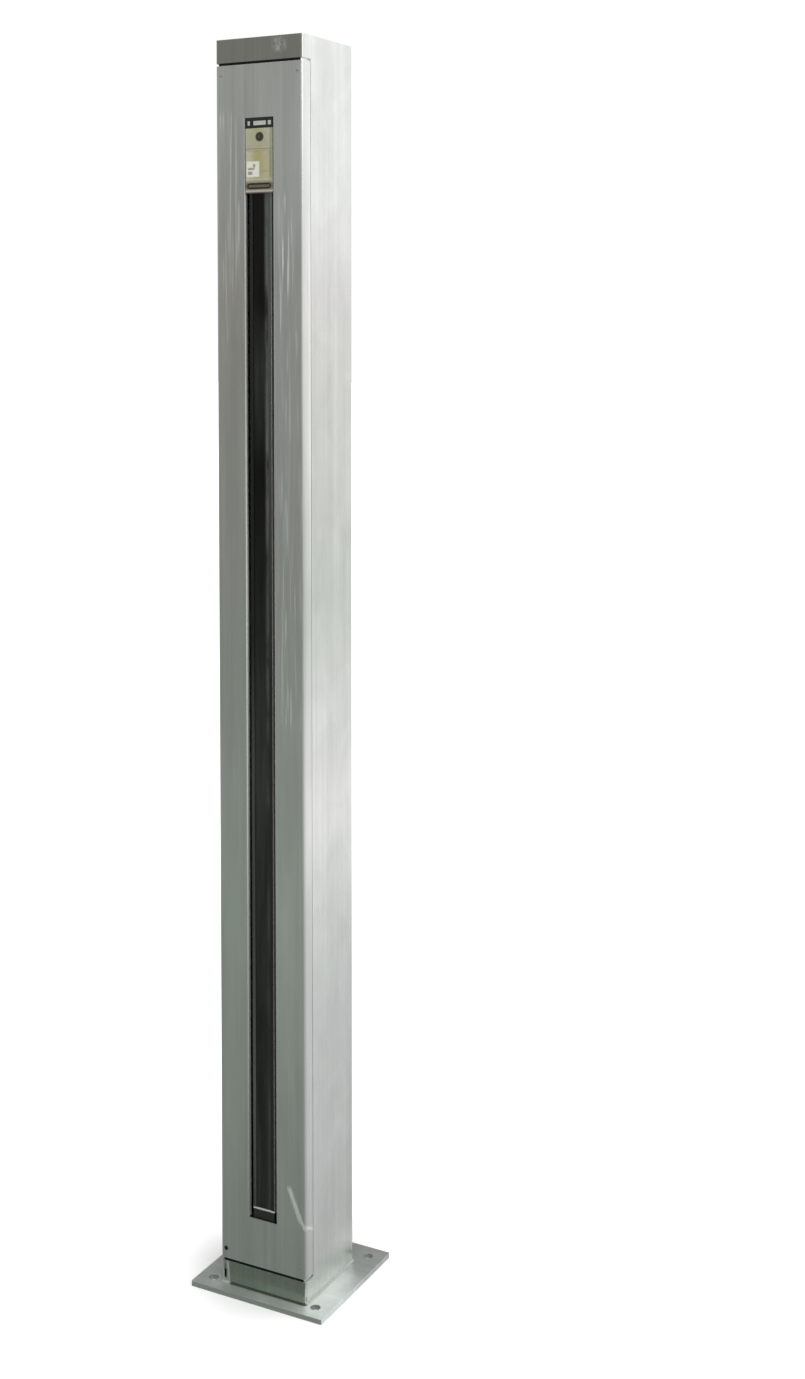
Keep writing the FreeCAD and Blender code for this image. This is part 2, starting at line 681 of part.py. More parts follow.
def curtain_housing():
    half = CURTAIN_WIDTH / 2
    z_range = (BEAM_LOW_Z, BEAM_HIGH_Z)
    body = raise_face(
        rounded_rectangle((-half, half), (CURTAIN_FRONT_Y, CURTAIN_BACK_Y), CURTAIN_EDGE_RADIUS),
        *z_range,
    )
    hollows = [
        block((-width, width), (CURTAIN_FRONT_Y + start, CURTAIN_FRONT_Y + end), z_range)
        for width, start, end in curtain_section_cuts()
    ]
    inner_x = half - GROOVE_DEPTH
    lip_x = half - GROOVE_LIP
    for side in (-1, 1):
        mouth = sorted((side * lip_x, side * (half + GROOVE_LIP)))
        undercut = sorted((side * inner_x, side * lip_x))
        reach = GROOVE_MOUTH / 2
        wide = GROOVE_UNDERCUT_WIDTH / 2
        hollows.append(block(mouth, (GROOVE_Y - reach, GROOVE_Y + reach), z_range))
        hollows.append(block(undercut, (GROOVE_Y - wide, GROOVE_Y + wide), z_range))
    for x, y in PORT_POINTS:
        for low in (BEAM_LOW_Z, BEAM_HIGH_Z - END_SCREW_BITE):
            hollows.append(
                rod(END_SCREW_DIAMETER + 2 * THREAD_CLEARANCE, END_SCREW_BITE, vec(x, y, low))
            )
    return cut_all(body, hollows)


def strip_z_range():
    return BEAM_LOW_Z + SPIGOT_HEIGHT + STRIP_END_CLEARANCE, BEAM_HIGH_Z - STRIP_END_CLEARANCE


def front_window():
    half = WINDOW_VISIBLE_WIDTH / 2 + WINDOW_BITE
    start = CURTAIN_FRONT_Y + WINDOW_RECESS
    return block((-half, half), (start, start + WINDOW_THICKNESS), (BEAM_LOW_Z, BEAM_HIGH_Z))


def window_seals():
    outer = WINDOW_VISIBLE_WIDTH / 2 + WINDOW_BITE
    start = CURTAIN_FRONT_Y + WINDOW_RECESS + WINDOW_THICKNESS
    right = block(
        (CAVITY_HALF_WIDTH, outer), (start, start + WINDOW_SEAL_THICKNESS), (BEAM_LOW_Z, BEAM_HIGH_Z)
    )
    return Part.makeCompound([right, mirrored(right)])


def beam_heights():
    """Heights of the beams, evenly pitched and centred in the strip."""
    low, high = strip_z_range()
    room = high - low - 2 * BEAM_END_MARGIN
    count = int(room // BEAM_PITCH) + 1
    first = (low + high - (count - 1) * BEAM_PITCH) / 2
    return [first + i * BEAM_PITCH for i in range(count)]


def lens_strip():
    """Clear moulded strip with one plano-convex lens for each beam."""
    face_y = CURTAIN_FRONT_Y + LENS_STRIP_DEPTH
    strip = block(
        (-BOARD_HALF_WIDTH, BOARD_HALF_WIDTH), (face_y, face_y + LENS_STRIP_THICKNESS), strip_z_range()
    )
    radius = (LENS_DIAMETER**2 / 4 + LENS_HEIGHT**2) / (2 * LENS_HEIGHT)
    centre_y = face_y - LENS_HEIGHT + radius
    half_angle = math.degrees(math.asin(LENS_DIAMETER / 2 / radius))
    lenses = []
    for z in beam_heights():
        ball = Part.makeSphere(
            radius, vec(0, centre_y, z), vec(0, -1, 0), 90 - half_angle, 90, 360
        )
        lenses.append(ball)
    return strip.multiFuse(lenses).removeSplitter()


def beam_board():
    start = CURTAIN_FRONT_Y + BOARD_DEPTH
    return block(
        (-BOARD_HALF_WIDTH, BOARD_HALF_WIDTH), (start, start + BOARD_THICKNESS), strip_z_range()
    )


def beam_diodes():
    """One block-shaped infrared diode for each beam, standing on the board behind its lens."""
    board_y = CURTAIN_FRONT_Y + BOARD_DEPTH
    x_range = (-DIODE_WIDTH / 2, DIODE_WIDTH / 2)
    y_range = (board_y - DIODE_STAND, board_y)
    diodes = [
        block(x_range, y_range, (z - DIODE_HEIGHT / 2, z + DIODE_HEIGHT / 2))
        for z in beam_heights()
    ]
    return Part.makeCompound(diodes)


# Light curtain: lower end


def spigot_half():
    return CAVITY_HALF_WIDTH - SPIGOT_CLEARANCE


def spigot_y_range(clearance):
    return (
        CURTAIN_FRONT_Y + WINDOW_RECESS + WINDOW_THICKNESS + WINDOW_SEAL_THICKNESS + clearance,
        CURTAIN_BACK_Y - CURTAIN_BACK_WALL - clearance,
    )


def port_screws(head_z, reach_z, direction, head_diameter, head_height, diameter):
    """Four pan-head screws on the ports' axes, with their heads at one height."""
    screws = []
    for x, y in PORT_POINTS:
        axis = vec(0, 0, direction)
        head = rod(head_diameter, head_height, vec(x, y, head_z), axis)
        shank = rod(diameter, abs(reach_z - head_z), vec(x, y, head_z), axis)
        screws.append(head.fuse(shank).removeSplitter())
    return screws


def end_cap_screw_set(growth):
    return port_screws(
        LOWER_CAP_LOW_Z,
        BEAM_LOW_Z + END_SCREW_BITE - END_SCREW_TIP_CLEARANCE,
        1,
        END_SCREW_HEAD_DIAMETER + 2 * growth,
        END_SCREW_HEAD_HEIGHT,
        END_SCREW_DIAMETER + 2 * growth,
    )


def lower_end_cap():
    half = CURTAIN_WIDTH / 2
    body = raise_face(
        rounded_rectangle((-half, half), (CURTAIN_FRONT_Y, CURTAIN_BACK_Y), CURTAIN_EDGE_RADIUS),
        LOWER_CAP_LOW_Z,
        LOWER_CAP_HIGH_Z,
    )
    width = spigot_half()
    outer_y = spigot_y_range(SPIGOT_CLEARANCE)
    inner_y = (outer_y[0] + SPIGOT_WALL, outer_y[1] - SPIGOT_WALL)
    spigot = block((-width, width), outer_y, (LOWER_CAP_HIGH_Z, BEAM_LOW_Z + SPIGOT_HEIGHT))
    hollow = block(
        (-width + SPIGOT_WALL, width - SPIGOT_WALL),
        inner_y,
        (LOWER_CAP_LOW_Z + CONNECTOR_FLANGE + SPIGOT_WALL, BEAM_LOW_Z + 2 * SPIGOT_HEIGHT),
    )
    shelf_start, shelf_end = lens_shelf_depths()
    rib_slits = block(
        (-CURTAIN_WIDTH / 2, CURTAIN_WIDTH / 2),
        (
            CURTAIN_FRONT_Y + shelf_start - SPIGOT_CLEARANCE,
            CURTAIN_FRONT_Y + shelf_end + SPIGOT_CLEARANCE,
        ),
        (LOWER_CAP_HIGH_Z, BEAM_LOW_Z + SPIGOT_HEIGHT),
    )
    seat = rod(
        CONNECTOR_FLANGE_DIAMETER + 2 * SLIDE_CLEARANCE,
        CONNECTOR_FLANGE,
        vec(0, CURTAIN_FRONT_Y + CONNECTOR_DEPTH_POSITION, LOWER_CAP_LOW_Z),
    )
    bore = rod(
        WIRE_PASSAGE_DIAMETER,
        CONNECTOR_FLANGE + 2 * SPIGOT_WALL,
        vec(0, CURTAIN_FRONT_Y + CONNECTOR_DEPTH_POSITION, LOWER_CAP_LOW_Z),
    )
    spigot = spigot.cut(rib_slits)
    return cut_all(body.fuse(spigot), [hollow, seat, bore] + end_cap_screw_set(THREAD_CLEARANCE))


def lower_gasket():
    half = CURTAIN_WIDTH / 2
    sheet = raise_face(
        rounded_rectangle((-half, half), (CURTAIN_FRONT_Y, CURTAIN_BACK_Y), CURTAIN_EDGE_RADIUS),
        LOWER_CAP_HIGH_Z,
        BEAM_LOW_Z,
    )
    window = block(
        (-CAVITY_HALF_WIDTH, CAVITY_HALF_WIDTH), spigot_y_range(0), (LOWER_CAP_HIGH_Z, BEAM_LOW_Z)
    )
    return cut_all(sheet, [window] + end_cap_screw_set(THREAD_CLEARANCE))


def end_cap_screws():
    return Part.makeCompound(end_cap_screw_set(0))


def connector_shell():
    """Round threaded plug shell under the lower cap, open at its end."""
    centre = vec(0, CURTAIN_FRONT_Y + CONNECTOR_DEPTH_POSITION, LOWER_CAP_LOW_Z)
    flange = rod(CONNECTOR_FLANGE_DIAMETER, CONNECTOR_FLANGE, centre)
    barrel = rod(CONNECTOR_DIAMETER, CONNECTOR_LENGTH, centre, vec(0, 0, -1))
    bore_diameter = CONNECTOR_DIAMETER - 2 * CONNECTOR_WALL
    bore = rod(
        bore_diameter, CONNECTOR_LENGTH + CONNECTOR_FLANGE, centre - vec(0, 0, CONNECTOR_LENGTH)
    )
    return flange.fuse(barrel).removeSplitter().cut(bore)


def connector_insert():
    """Insulating insert of the plug, with its row of round contacts standing out of it."""
    centre = vec(0, CURTAIN_FRONT_Y + CONNECTOR_DEPTH_POSITION, LOWER_CAP_LOW_Z)
    diameter = CONNECTOR_DIAMETER - 2 * CONNECTOR_WALL - 2 * THREAD_CLEARANCE
    start = centre - vec(0, 0, CONNECTOR_LENGTH / 2)
    body = rod(diameter, CONNECTOR_LENGTH / 2 + CONNECTOR_FLANGE, start)
    contacts = []
    for i in range(CONTACT_COUNT):
        angle = 2 * math.pi * i / CONTACT_COUNT
        offset = vec(
            CONTACT_CIRCLE_DIAMETER / 2 * math.cos(angle), CONTACT_CIRCLE_DIAMETER / 2 * math.sin(angle)
        )
        length = CONNECTOR_LENGTH / 2 - CONTACT_RECESS
        contacts.append(rod(CONTACT_DIAMETER, length, start + offset, vec(0, 0, -1)))
    return body.multiFuse(contacts).removeSplitter()


# Light curtain: display head


def head_plan(inset, radius):
    half = HEAD_WIDTH / 2 - inset
    return rounded_rectangle(
        (-half, half), (FRONT_Y + inset, FRONT_Y + HEAD_DEPTH - inset), radius
    )


def adapter_screw_set(growth):
    return port_screws(
        SLEEVE_LOW_Z + END_SCREW_HEAD_HEIGHT,
        BEAM_HIGH_Z - END_SCREW_BITE + END_SCREW_TIP_CLEARANCE,
        -1,
        END_SCREW_HEAD_DIAMETER + 2 * growth,
        END_SCREW_HEAD_HEIGHT,
        END_SCREW_DIAMETER + 2 * growth,
    )


def tie_screw_set(growth):
    """Four long screws from the upper cap, through the sleeve's bosses, into the adapter plate."""
    screws = []
    for x, y in BOSS_POINTS:
        head = rod(
            TIE_SCREW_HEAD_DIAMETER + 2 * growth,
            TIE_SCREW_HEAD_HEIGHT,
            vec(x, y, HEAD_HIGH_Z),
            vec(0, 0, -1),
        )
        shank = rod(
            TIE_SCREW_DIAMETER + 2 * growth,
            HEAD_HIGH_Z - BEAM_HIGH_Z - TIE_SCREW_TIP_CLEARANCE + growth,
            vec(x, y, HEAD_HIGH_Z),
            vec(0, 0, -1),
        )
        screws.append(head.fuse(shank).removeSplitter())
    return screws


def adapter_plate():
    half = HEAD_WIDTH / 2
    plate = raise_face(
        rounded_rectangle((-half, half), (FRONT_Y, CURTAIN_BACK_Y), HEAD_EDGE_RADIUS),
        BEAM_HIGH_Z,
        SLEEVE_LOW_Z,
    )
    middle_y = CURTAIN_FRONT_Y + (PORT_FRONT_DEPTH + PORT_REAR_DEPTH) / 2
    passage = block(
        (-PASSAGE_WIDTH / 2, PASSAGE_WIDTH / 2),
        (middle_y - PASSAGE_DEPTH / 2, middle_y + PASSAGE_DEPTH / 2),
        (BEAM_HIGH_Z, SLEEVE_LOW_Z),
    )
    shanks = adapter_screw_set(THREAD_CLEARANCE) + tie_screw_set(THREAD_CLEARANCE)
    return cut_all(plate, [passage] + shanks)


def head_sleeve():
    """Moulded sleeve of the display head, with bosses, standoffs and pockets in its face."""
    z_range = (SLEEVE_LOW_Z, SLEEVE_HIGH_Z)
    shell = raise_face(head_plan(0, HEAD_EDGE_RADIUS), *z_range)
    shell = shell.cut(raise_face(head_plan(HEAD_WALL, HEAD_EDGE_RADIUS), *z_range))
    clear_of_heads = SLEEVE_LOW_Z + END_SCREW_HEAD_HEIGHT + SLIDE_CLEARANCE
    posts = [
        rod(BOSS_DIAMETER, SLEEVE_HIGH_Z - clear_of_heads, vec(x, y, clear_of_heads))
        for x, y in BOSS_POINTS
    ]
    for z in STANDOFF_Z:
        posts.append(
            rod(
                STANDOFF_DIAMETER,
                CONTROL_BOARD_DEPTH - HEAD_WALL / 2,
                vec(0, FRONT_Y + HEAD_WALL / 2, z),
                Y_AXIS,
            )
        )
    shell = shell.multiFuse(posts).common(raise_face(head_plan(0, HEAD_EDGE_RADIUS), *z_range))
    half = HEAD_WIDTH / 2
    groove_z = SLEEVE_LOW_Z + SLEEVE_GROOVE_HEIGHT
    groove = block(
        (-half, half),
        (FRONT_Y, FRONT_Y + SLEEVE_GROOVE_DEPTH),
        (groove_z - SLEEVE_GROOVE_WIDTH / 2, groove_z + SLEEVE_GROOVE_WIDTH / 2),
    )
    label_pocket = label_block(LABEL_CLEARANCE)
    badge_pocket = badge_face(0).extrude(vec(0, BADGE_DEPTH, 0))
    lens_hole = rod(STATUS_LENS_DIAMETER, 2 * HEAD_WALL, status_lens_point(0), Y_AXIS)
    screw_holes = [
        rod(
            BOARD_SCREW_DIAMETER + 2 * THREAD_CLEARANCE,
            BOARD_SCREW_LENGTH,
            vec(0, FRONT_Y + CONTROL_BOARD_DEPTH + BOARD_THICKNESS - BOARD_SCREW_LENGTH, z),
            Y_AXIS,
        )
        for z in STANDOFF_Z
    ]
    pockets = [groove, label_pocket, badge_pocket, lens_hole]
    return cut_all(shell, pockets + screw_holes + tie_screw_set(THREAD_CLEARANCE)).removeSplitter()


def status_lens_point(depth):
    return vec(STATUS_LENS_OFFSET, FRONT_Y + depth, SLEEVE_LOW_Z + STATUS_LENS_ABOVE_BASE)


def status_lens():
    """Smoked lens of the status light, domed in front and held by a flange behind the wall."""
    radius = (STATUS_LENS_DIAMETER**2 / 4 + STATUS_LENS_PROUD**2) / (2 * STATUS_LENS_PROUD)
    half_angle = math.degrees(math.asin(STATUS_LENS_DIAMETER / 2 / radius))
    dome = Part.makeSphere(
        radius,
        status_lens_point(radius - STATUS_LENS_PROUD),
        vec(0, -1, 0),
        90 - half_angle,
        90,
        360,
    )
    body = rod(STATUS_LENS_DIAMETER, HEAD_WALL, status_lens_point(0), Y_AXIS)
    flange = rod(
        STATUS_LENS_FLANGE_DIAMETER, STATUS_LENS_FLANGE, status_lens_point(HEAD_WALL), Y_AXIS
    )
    return dome.multiFuse([body, flange]).removeSplitter()


def label_block(growth):
    half = LABEL_WIDTH / 2 + growth
    low = SLEEVE_LOW_Z + LABEL_ABOVE_BASE - growth
    return block(
        (-half, half), (FRONT_Y, FRONT_Y + LABEL_THICKNESS), (low, low + LABEL_HEIGHT + 2 * growth)
    )


def label_plate():
    return label_block(0)


def badge_face(inset):
    z = SLEEVE_LOW_Z + BADGE_ABOVE_BASE
    return stadium(BADGE_LENGTH - 2 * inset, BADGE_HEIGHT - 2 * inset, z)


def badge_rim():
    depth = vec(0, BADGE_DEPTH, 0)
    rim = badge_face(LABEL_CLEARANCE).extrude(depth)
    return rim.cut(badge_face(BADGE_RIM).extrude(depth))


def badge_panel():
    return badge_face(BADGE_RIM + LABEL_CLEARANCE).extrude(vec(0, BADGE_DEPTH, 0))


def segment_blocks(growth):
    z = SLEEVE_HIGH_Z + SEGMENT_ABOVE_CAP_BASE
    return [
        block(
            (x - growth, x + width + growth),
            (FRONT_Y, FRONT_Y + SEGMENT_THICKNESS),
            (z - growth, z + SEGMENT_HEIGHT + growth),
        )
        for x, width in DISPLAY_SEGMENTS
    ]


def display_segments():
    return Part.makeCompound(segment_blocks(0))


def upper_end_cap():
    body = raise_face(head_plan(0, HEAD_EDGE_RADIUS), SLEEVE_HIGH_Z, HEAD_HIGH_Z)
    return cut_all(body, segment_blocks(LABEL_CLEARANCE) + tie_screw_set(THREAD_CLEARANCE))


def control_board():
    half = CONTROL_BOARD_WIDTH / 2
    start = FRONT_Y + CONTROL_BOARD_DEPTH
    low = SLEEVE_LOW_Z + CONTROL_BOARD_ABOVE_BASE
    board = block((-half, half), (start, start + BOARD_THICKNESS), (low, low + CONTROL_BOARD_HEIGHT))
    holes = [
        rod(BOARD_SCREW_DIAMETER + 2 * THREAD_CLEARANCE, BOARD_THICKNESS, vec(0, start, z), Y_AXIS)
        for z in STANDOFF_Z
    ]
    return cut_all(board, holes)


def board_screws():
    screws = []
    seat_y = FRONT_Y + CONTROL_BOARD_DEPTH + BOARD_THICKNESS
    length = BOARD_SCREW_LENGTH - BOARD_SCREW_TIP_CLEARANCE
    for z in STANDOFF_Z:
        head = rod(BOARD_SCREW_HEAD_DIAMETER, BOARD_SCREW_HEAD_HEIGHT, vec(0, seat_y, z), Y_AXIS)
        shank = rod(BOARD_SCREW_DIAMETER, length, vec(0, seat_y, z), vec(0, -1, 0))
        screws.append(head.fuse(shank).removeSplitter())
    return Part.makeCompound(screws)


def status_led():
    start = status_lens_point(CONTROL_BOARD_DEPTH)
    radius = STATUS_LED_DIAMETER / 2
    stem = rod(STATUS_LED_DIAMETER, STATUS_LED_HEIGHT - radius, start, vec(0, -1, 0))
    dome = Part.makeSphere(
        radius, start - vec(0, STATUS_LED_HEIGHT - radius, 0), vec(0, -1, 0), 0, 90, 360
    )
    return stem.fuse(dome).removeSplitter()


# Mounting of the light curtain in the column


def mounting_rail():
    """Hat-section rail welded to the back wall."""
    half = MOUNT_RAIL_WIDTH / 2
    foot = half + MOUNT_RAIL_FOOT
    back = BACK_INNER_Y
    points = [
        (foot, back - MOUNT_RAIL_WALL),
        (half, back - MOUNT_RAIL_WALL),
        (half, MOUNT_RAIL_FACE_Y),
        (-half, MOUNT_RAIL_FACE_Y),
        (-half, back - MOUNT_RAIL_WALL),
        (-foot, back - MOUNT_RAIL_WALL),
    ]
    rail = raise_face(
        bent_sheet(points, MOUNT_RAIL_WALL, MOUNT_RAIL_BEND_RADIUS),
        COLUMN_BASE_Z + MOUNT_RAIL_BASE_MARGIN,
        COLUMN_TOP_Z - MOUNT_RAIL_TOP_MARGIN,
    )
    return cut_all(rail, bracket_bolt_holes())


def bracket_bolt_points():
    offsets = (-BRACKET_BOLT_SPACING / 2, BRACKET_BOLT_SPACING / 2)
    return [z + offset for z in BRACKET_Z.values() for offset in offsets]


def bracket_bolt_holes():
    diameter = BRACKET_BOLT_DIAMETER + 2 * BOLT_HOLE_CLEARANCE
    length = BRACKET_WALL + MOUNT_RAIL_WALL
    return [rod(diameter, length, vec(0, BRACKET_BASE_Y, z), Y_AXIS) for z in bracket_bolt_points()]


def bracket(name):
    """U-shaped saddle: its base lies on the mounting rail and its arms hold the beam section."""
    outer_x = BRACKET_INNER_X + BRACKET_WALL
    tip_y = GROOVE_Y - BRACKET_ARM_PAST_GROOVE
    points = [
        (-outer_x, tip_y),
        (-outer_x, MOUNT_RAIL_FACE_Y),
        (outer_x, MOUNT_RAIL_FACE_Y),
        (outer_x, tip_y),
    ]
    z = BRACKET_Z[name]
    saddle = raise_face(
        bent_sheet(points, BRACKET_WALL, BRACKET_BEND_RADIUS),
        z - BRACKET_HEIGHT / 2,
        z + BRACKET_HEIGHT / 2,
    )
    clamp_hole = rod(
        CLAMP_SCREW_DIAMETER + 2 * BOLT_HOLE_CLEARANCE, 2 * outer_x, vec(-outer_x, GROOVE_Y, z), X_AXIS
    )
    return cut_all(saddle, [clamp_hole] + bracket_bolt_holes())


def bracket_bolts():
    """Hexagon bolts from inside each bracket, through the mounting rail."""
    bolts = []
    for z in bracket_bolt_points():
        seat = vec(0, BRACKET_BASE_Y, z)
        head = hexagon_bar(HEX_ACROSS_FLATS, BOLT_HEAD_HEIGHT, seat, vec(0, -1, 0))
        shank = rod(BRACKET_BOLT_DIAMETER, BRACKET_BOLT_LENGTH, seat, Y_AXIS)
        bolts.append(head.fuse(shank).removeSplitter())
    return Part.makeCompound(bolts)


def weld_nuts():
    """Hexagon nuts welded behind the mounting rail's face."""
    nuts = []
    for z in bracket_bolt_points():
        seat = vec(0, MOUNT_RAIL_FACE_Y + MOUNT_RAIL_WALL, z)
        nut = hexagon_bar(HEX_ACROSS_FLATS, NUT_HEIGHT, seat, Y_AXIS)
        hole = rod(BRACKET_BOLT_DIAMETER + 2 * THREAD_CLEARANCE, NUT_HEIGHT, seat, Y_AXIS)
        nuts.append(nut.cut(hole))
    return Part.makeCompound(nuts)


def clamp_points():
    return [(side, z) for z in BRACKET_Z.values() for side in (-1, 1)]


def clamp_screws():
    """Button-head screws through the bracket arms into the nuts in the T-grooves."""
    screws = []
    outer_x = BRACKET_INNER_X + BRACKET_WALL
    tip_x = CURTAIN_WIDTH / 2 - GROOVE_DEPTH + 2 * SLIDE_CLEARANCE
    for side, z in clamp_points():
        seat = vec(side * outer_x, GROOVE_Y, z)
        head = rod(CLAMP_SCREW_HEAD_DIAMETER, CLAMP_SCREW_HEAD_HEIGHT, seat, vec(side, 0, 0))
        shank = rod(CLAMP_SCREW_DIAMETER, outer_x - tip_x, seat, vec(-side, 0, 0))
        socket = hexagon_bar(
            CLAMP_SCREW_SOCKET,
            CLAMP_SCREW_HEAD_HEIGHT / 2,
            seat + vec(side * CLAMP_SCREW_HEAD_HEIGHT, 0, 0),
            vec(-side, 0, 0),
        )
        screws.append(head.fuse(shank).removeSplitter().cut(socket))
    return Part.makeCompound(screws)


def slot_nuts():
    nuts = []
    outer_x = CURTAIN_WIDTH / 2 - GROOVE_LIP
    inner_x = CURTAIN_WIDTH / 2 - GROOVE_DEPTH + SLIDE_CLEARANCE
    reach = GROOVE_UNDERCUT_WIDTH / 2 - 2 * SLIDE_CLEARANCE
    for side, z in clamp_points():
        nut = block(
            sorted((side * inner_x, side * outer_x)),
            (GROOVE_Y - reach, GROOVE_Y + reach),
            (z - SLOT_NUT_LENGTH / 2, z + SLOT_NUT_LENGTH / 2),
        )
        hole = rod(
            CLAMP_SCREW_DIAMETER + 2 * THREAD_CLEARANCE,
            CURTAIN_WIDTH / 2,
            vec(side * CURTAIN_WIDTH / 2, GROOVE_Y, z),
            vec(-side, 0, 0),
        )
        nuts.append(nut.cut(hole))
    return Part.makeCompound(nuts)


# Cable gland


def gland_point(y):
    return vec(0, y, GLAND_Z)


def gland_hex_y():
    return BACK_Y + GLAND_WASHER_THICKNESS


def gland_neck_y():
    return gland_hex_y() + GLAND_HEX_HEIGHT


def gland_body():
    thread_start = gland_hex_y() - GLAND_THREAD_LENGTH - GLAND_WASHER_THICKNESS
    thread = rod(GLAND_THREAD_DIAMETER, gland_hex_y() - thread_start, gland_point(thread_start), Y_AXIS)
    flange = hexagon_bar(GLAND_HEX_FLATS, GLAND_HEX_HEIGHT, gland_point(gland_hex_y()), Y_AXIS)
    neck = rod(GLAND_NECK_DIAMETER, GLAND_NECK_LENGTH, gland_point(gland_neck_y()), Y_AXIS)
    neck_end = gland_neck_y() + GLAND_NECK_LENGTH
    bore = rod(GLAND_BORE_DIAMETER, neck_end - thread_start, gland_point(thread_start), Y_AXIS)
    seal_start = gland_hex_y() + GLAND_SEAL_SEAT
    mouth = rod(
        GLAND_SEAL_DIAMETER + 2 * GLAND_FIT, neck_end - seal_start, gland_point(seal_start), Y_AXIS
    )
    return thread.multiFuse([flange, neck]).removeSplitter().cut(bore).cut(mouth)


def gland_washer():
    washer = rod(GLAND_WASHER_DIAMETER, GLAND_WASHER_THICKNESS, gland_point(BACK_Y), Y_AXIS)
    hole = rod(
        GLAND_THREAD_DIAMETER + 2 * GLAND_FIT, GLAND_WASHER_THICKNESS, gland_point(BACK_Y), Y_AXIS
    )
    return washer.cut(hole)


def gland_locknut():
    start = BACK_INNER_Y - GLAND_LOCKNUT_HEIGHT
    nut = hexagon_bar(GLAND_HEX_FLATS, GLAND_LOCKNUT_HEIGHT, gland_point(start), Y_AXIS)
    hole = rod(
        GLAND_THREAD_DIAMETER + 2 * GLAND_FIT, GLAND_LOCKNUT_HEIGHT, gland_point(start), Y_AXIS
    )
    return nut.cut(hole)


def gland_seal():
    """Rubber sleeve that grips the cable."""
    start = gland_hex_y() + GLAND_SEAL_SEAT
    sleeve = rod(GLAND_SEAL_DIAMETER, GLAND_SEAL_LENGTH, gland_point(start), Y_AXIS)
    return sleeve.cut(rod(CABLE_BORE_DIAMETER, GLAND_SEAL_LENGTH, gland_point(start), Y_AXIS))


def gland_cap():
    """Hexagonal dome nut screwed over the neck."""
    start = gland_neck_y()
    cap = hexagon_bar(GLAND_CAP_FLATS, GLAND_CAP_LENGTH, gland_point(start), Y_AXIS)
    end = start + GLAND_CAP_LENGTH
    dome = Part.makeCone(
        GLAND_CAP_CONE_DIAMETER / 2,
        GLAND_CAP_END_DIAMETER / 2,
        GLAND_CAP_LENGTH,
        gland_point(start),
        Y_AXIS,
    )
    inside = rod(
        GLAND_NECK_DIAMETER + 2 * GLAND_FIT,
        GLAND_CAP_LENGTH - GLAND_CAP_LIP,
        gland_point(start),
        Y_AXIS,
    )
    mouth = rod(GLAND_CAP_BORE_DIAMETER, 2 * GLAND_CAP_LIP, gland_point(end - 2 * GLAND_CAP_LIP), Y_AXIS)
    return cap.common(dome).cut(inside).cut(mouth)


NODES = {
    "base_plate": base_plate,
    "column_tube": column_tube,
    "base_weld": base_weld,
    "top_plate": top_plate,
    "front_cover": front_cover,
    "cover_screws": cover_screws,
    "rivet_nuts": rivet_nuts,
    "cover_rail_right": cover_rail,
    "cover_rail_left": lambda: mirrored(cover_rail()),
    "lower_strap": lower_strap,
    "upper_strap": upper_strap,
    "cover_gasket": cover_gasket,
    "curtain_housing": curtain_housing,
    "front_window": front_window,
    "window_seals": window_seals,
    "lens_strip": lens_strip,
    "beam_board": beam_board,
    "beam_diodes": beam_diodes,
    "lower_end_cap": lower_end_cap,
    "lower_gasket": lower_gasket,
    "end_cap_screws": end_cap_screws,
    "connector_shell": connector_shell,
    "connector_insert": connector_insert,
    "adapter_plate": adapter_plate,
    "adapter_screws": lambda: Part.makeCompound(adapter_screw_set(0)),
    "head_sleeve": head_sleeve,
    "upper_end_cap": upper_end_cap,
    "tie_screws": lambda: Part.makeCompound(tie_screw_set(0)),
    "display_segments": display_segments,
    "status_lens": status_lens,
    "status_led": status_led,
    "label_plate": label_plate,
    "badge_rim": badge_rim,
    "badge_panel": badge_panel,
    "control_board": control_board,
    "board_screws": board_screws,
    "mounting_rail": mounting_rail,
    "lower_bracket": lambda: bracket("lower"),
    "middle_bracket": lambda: bracket("middle"),
    "upper_bracket": lambda: bracket("upper"),
    "bracket_bolts": bracket_bolts,
    "weld_nuts": weld_nuts,
    "clamp_screws": clamp_screws,
    "slot_nuts": slot_nuts,
    "gland_body": gland_body,
    "gland_washer": gland_washer,
    "gland_locknut": gland_locknut,
    "gland_seal": gland_seal,
    "gland_cap": gland_cap,
}


def main():
    os.makedirs("parts", exist_ok=True)
    for name, build in NODES.items():
        shape = build()
        if not shape.isValid():
            raise ValueError(f"{name} isn't a valid shape")
        shape.exportStep(f"parts/{name}.step")


main()
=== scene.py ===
"""Looks of the floor-standing safety light curtain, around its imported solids.

Metres, in the part's own frame: +Z up, the slot faces -Y, the origin is under the base plate's middle.
"""

import json
import math

import bpy
from mathutils import Matrix, Vector


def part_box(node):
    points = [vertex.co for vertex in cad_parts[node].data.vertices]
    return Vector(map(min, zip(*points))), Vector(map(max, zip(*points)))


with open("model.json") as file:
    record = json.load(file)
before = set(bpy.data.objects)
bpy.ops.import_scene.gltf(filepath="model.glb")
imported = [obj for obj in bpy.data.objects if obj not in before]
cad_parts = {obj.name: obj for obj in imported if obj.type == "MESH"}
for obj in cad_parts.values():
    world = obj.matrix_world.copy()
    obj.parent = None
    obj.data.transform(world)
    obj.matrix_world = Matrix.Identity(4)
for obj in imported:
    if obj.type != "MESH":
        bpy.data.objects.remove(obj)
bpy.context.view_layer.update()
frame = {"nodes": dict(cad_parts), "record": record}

MM = 0.001

# Camera: from the right front, about three quarters of the way up the column.
# Lens and sensor are in millimetres, angles in radians, the place in metres from the column's foot.
CAMERA_LENS = 45.761
CAMERA_SENSOR = 36.0
CAMERA_SHIFT_Y = -0.2002
CAMERA_AZIMUTH = math.radians(27.644)
CAMERA_PITCH = 0.0490
CAMERA_ROLL = 0.0003
CAMERA_FROM_FOOT = Vector((1.1037, -1.8035, 1.1622))


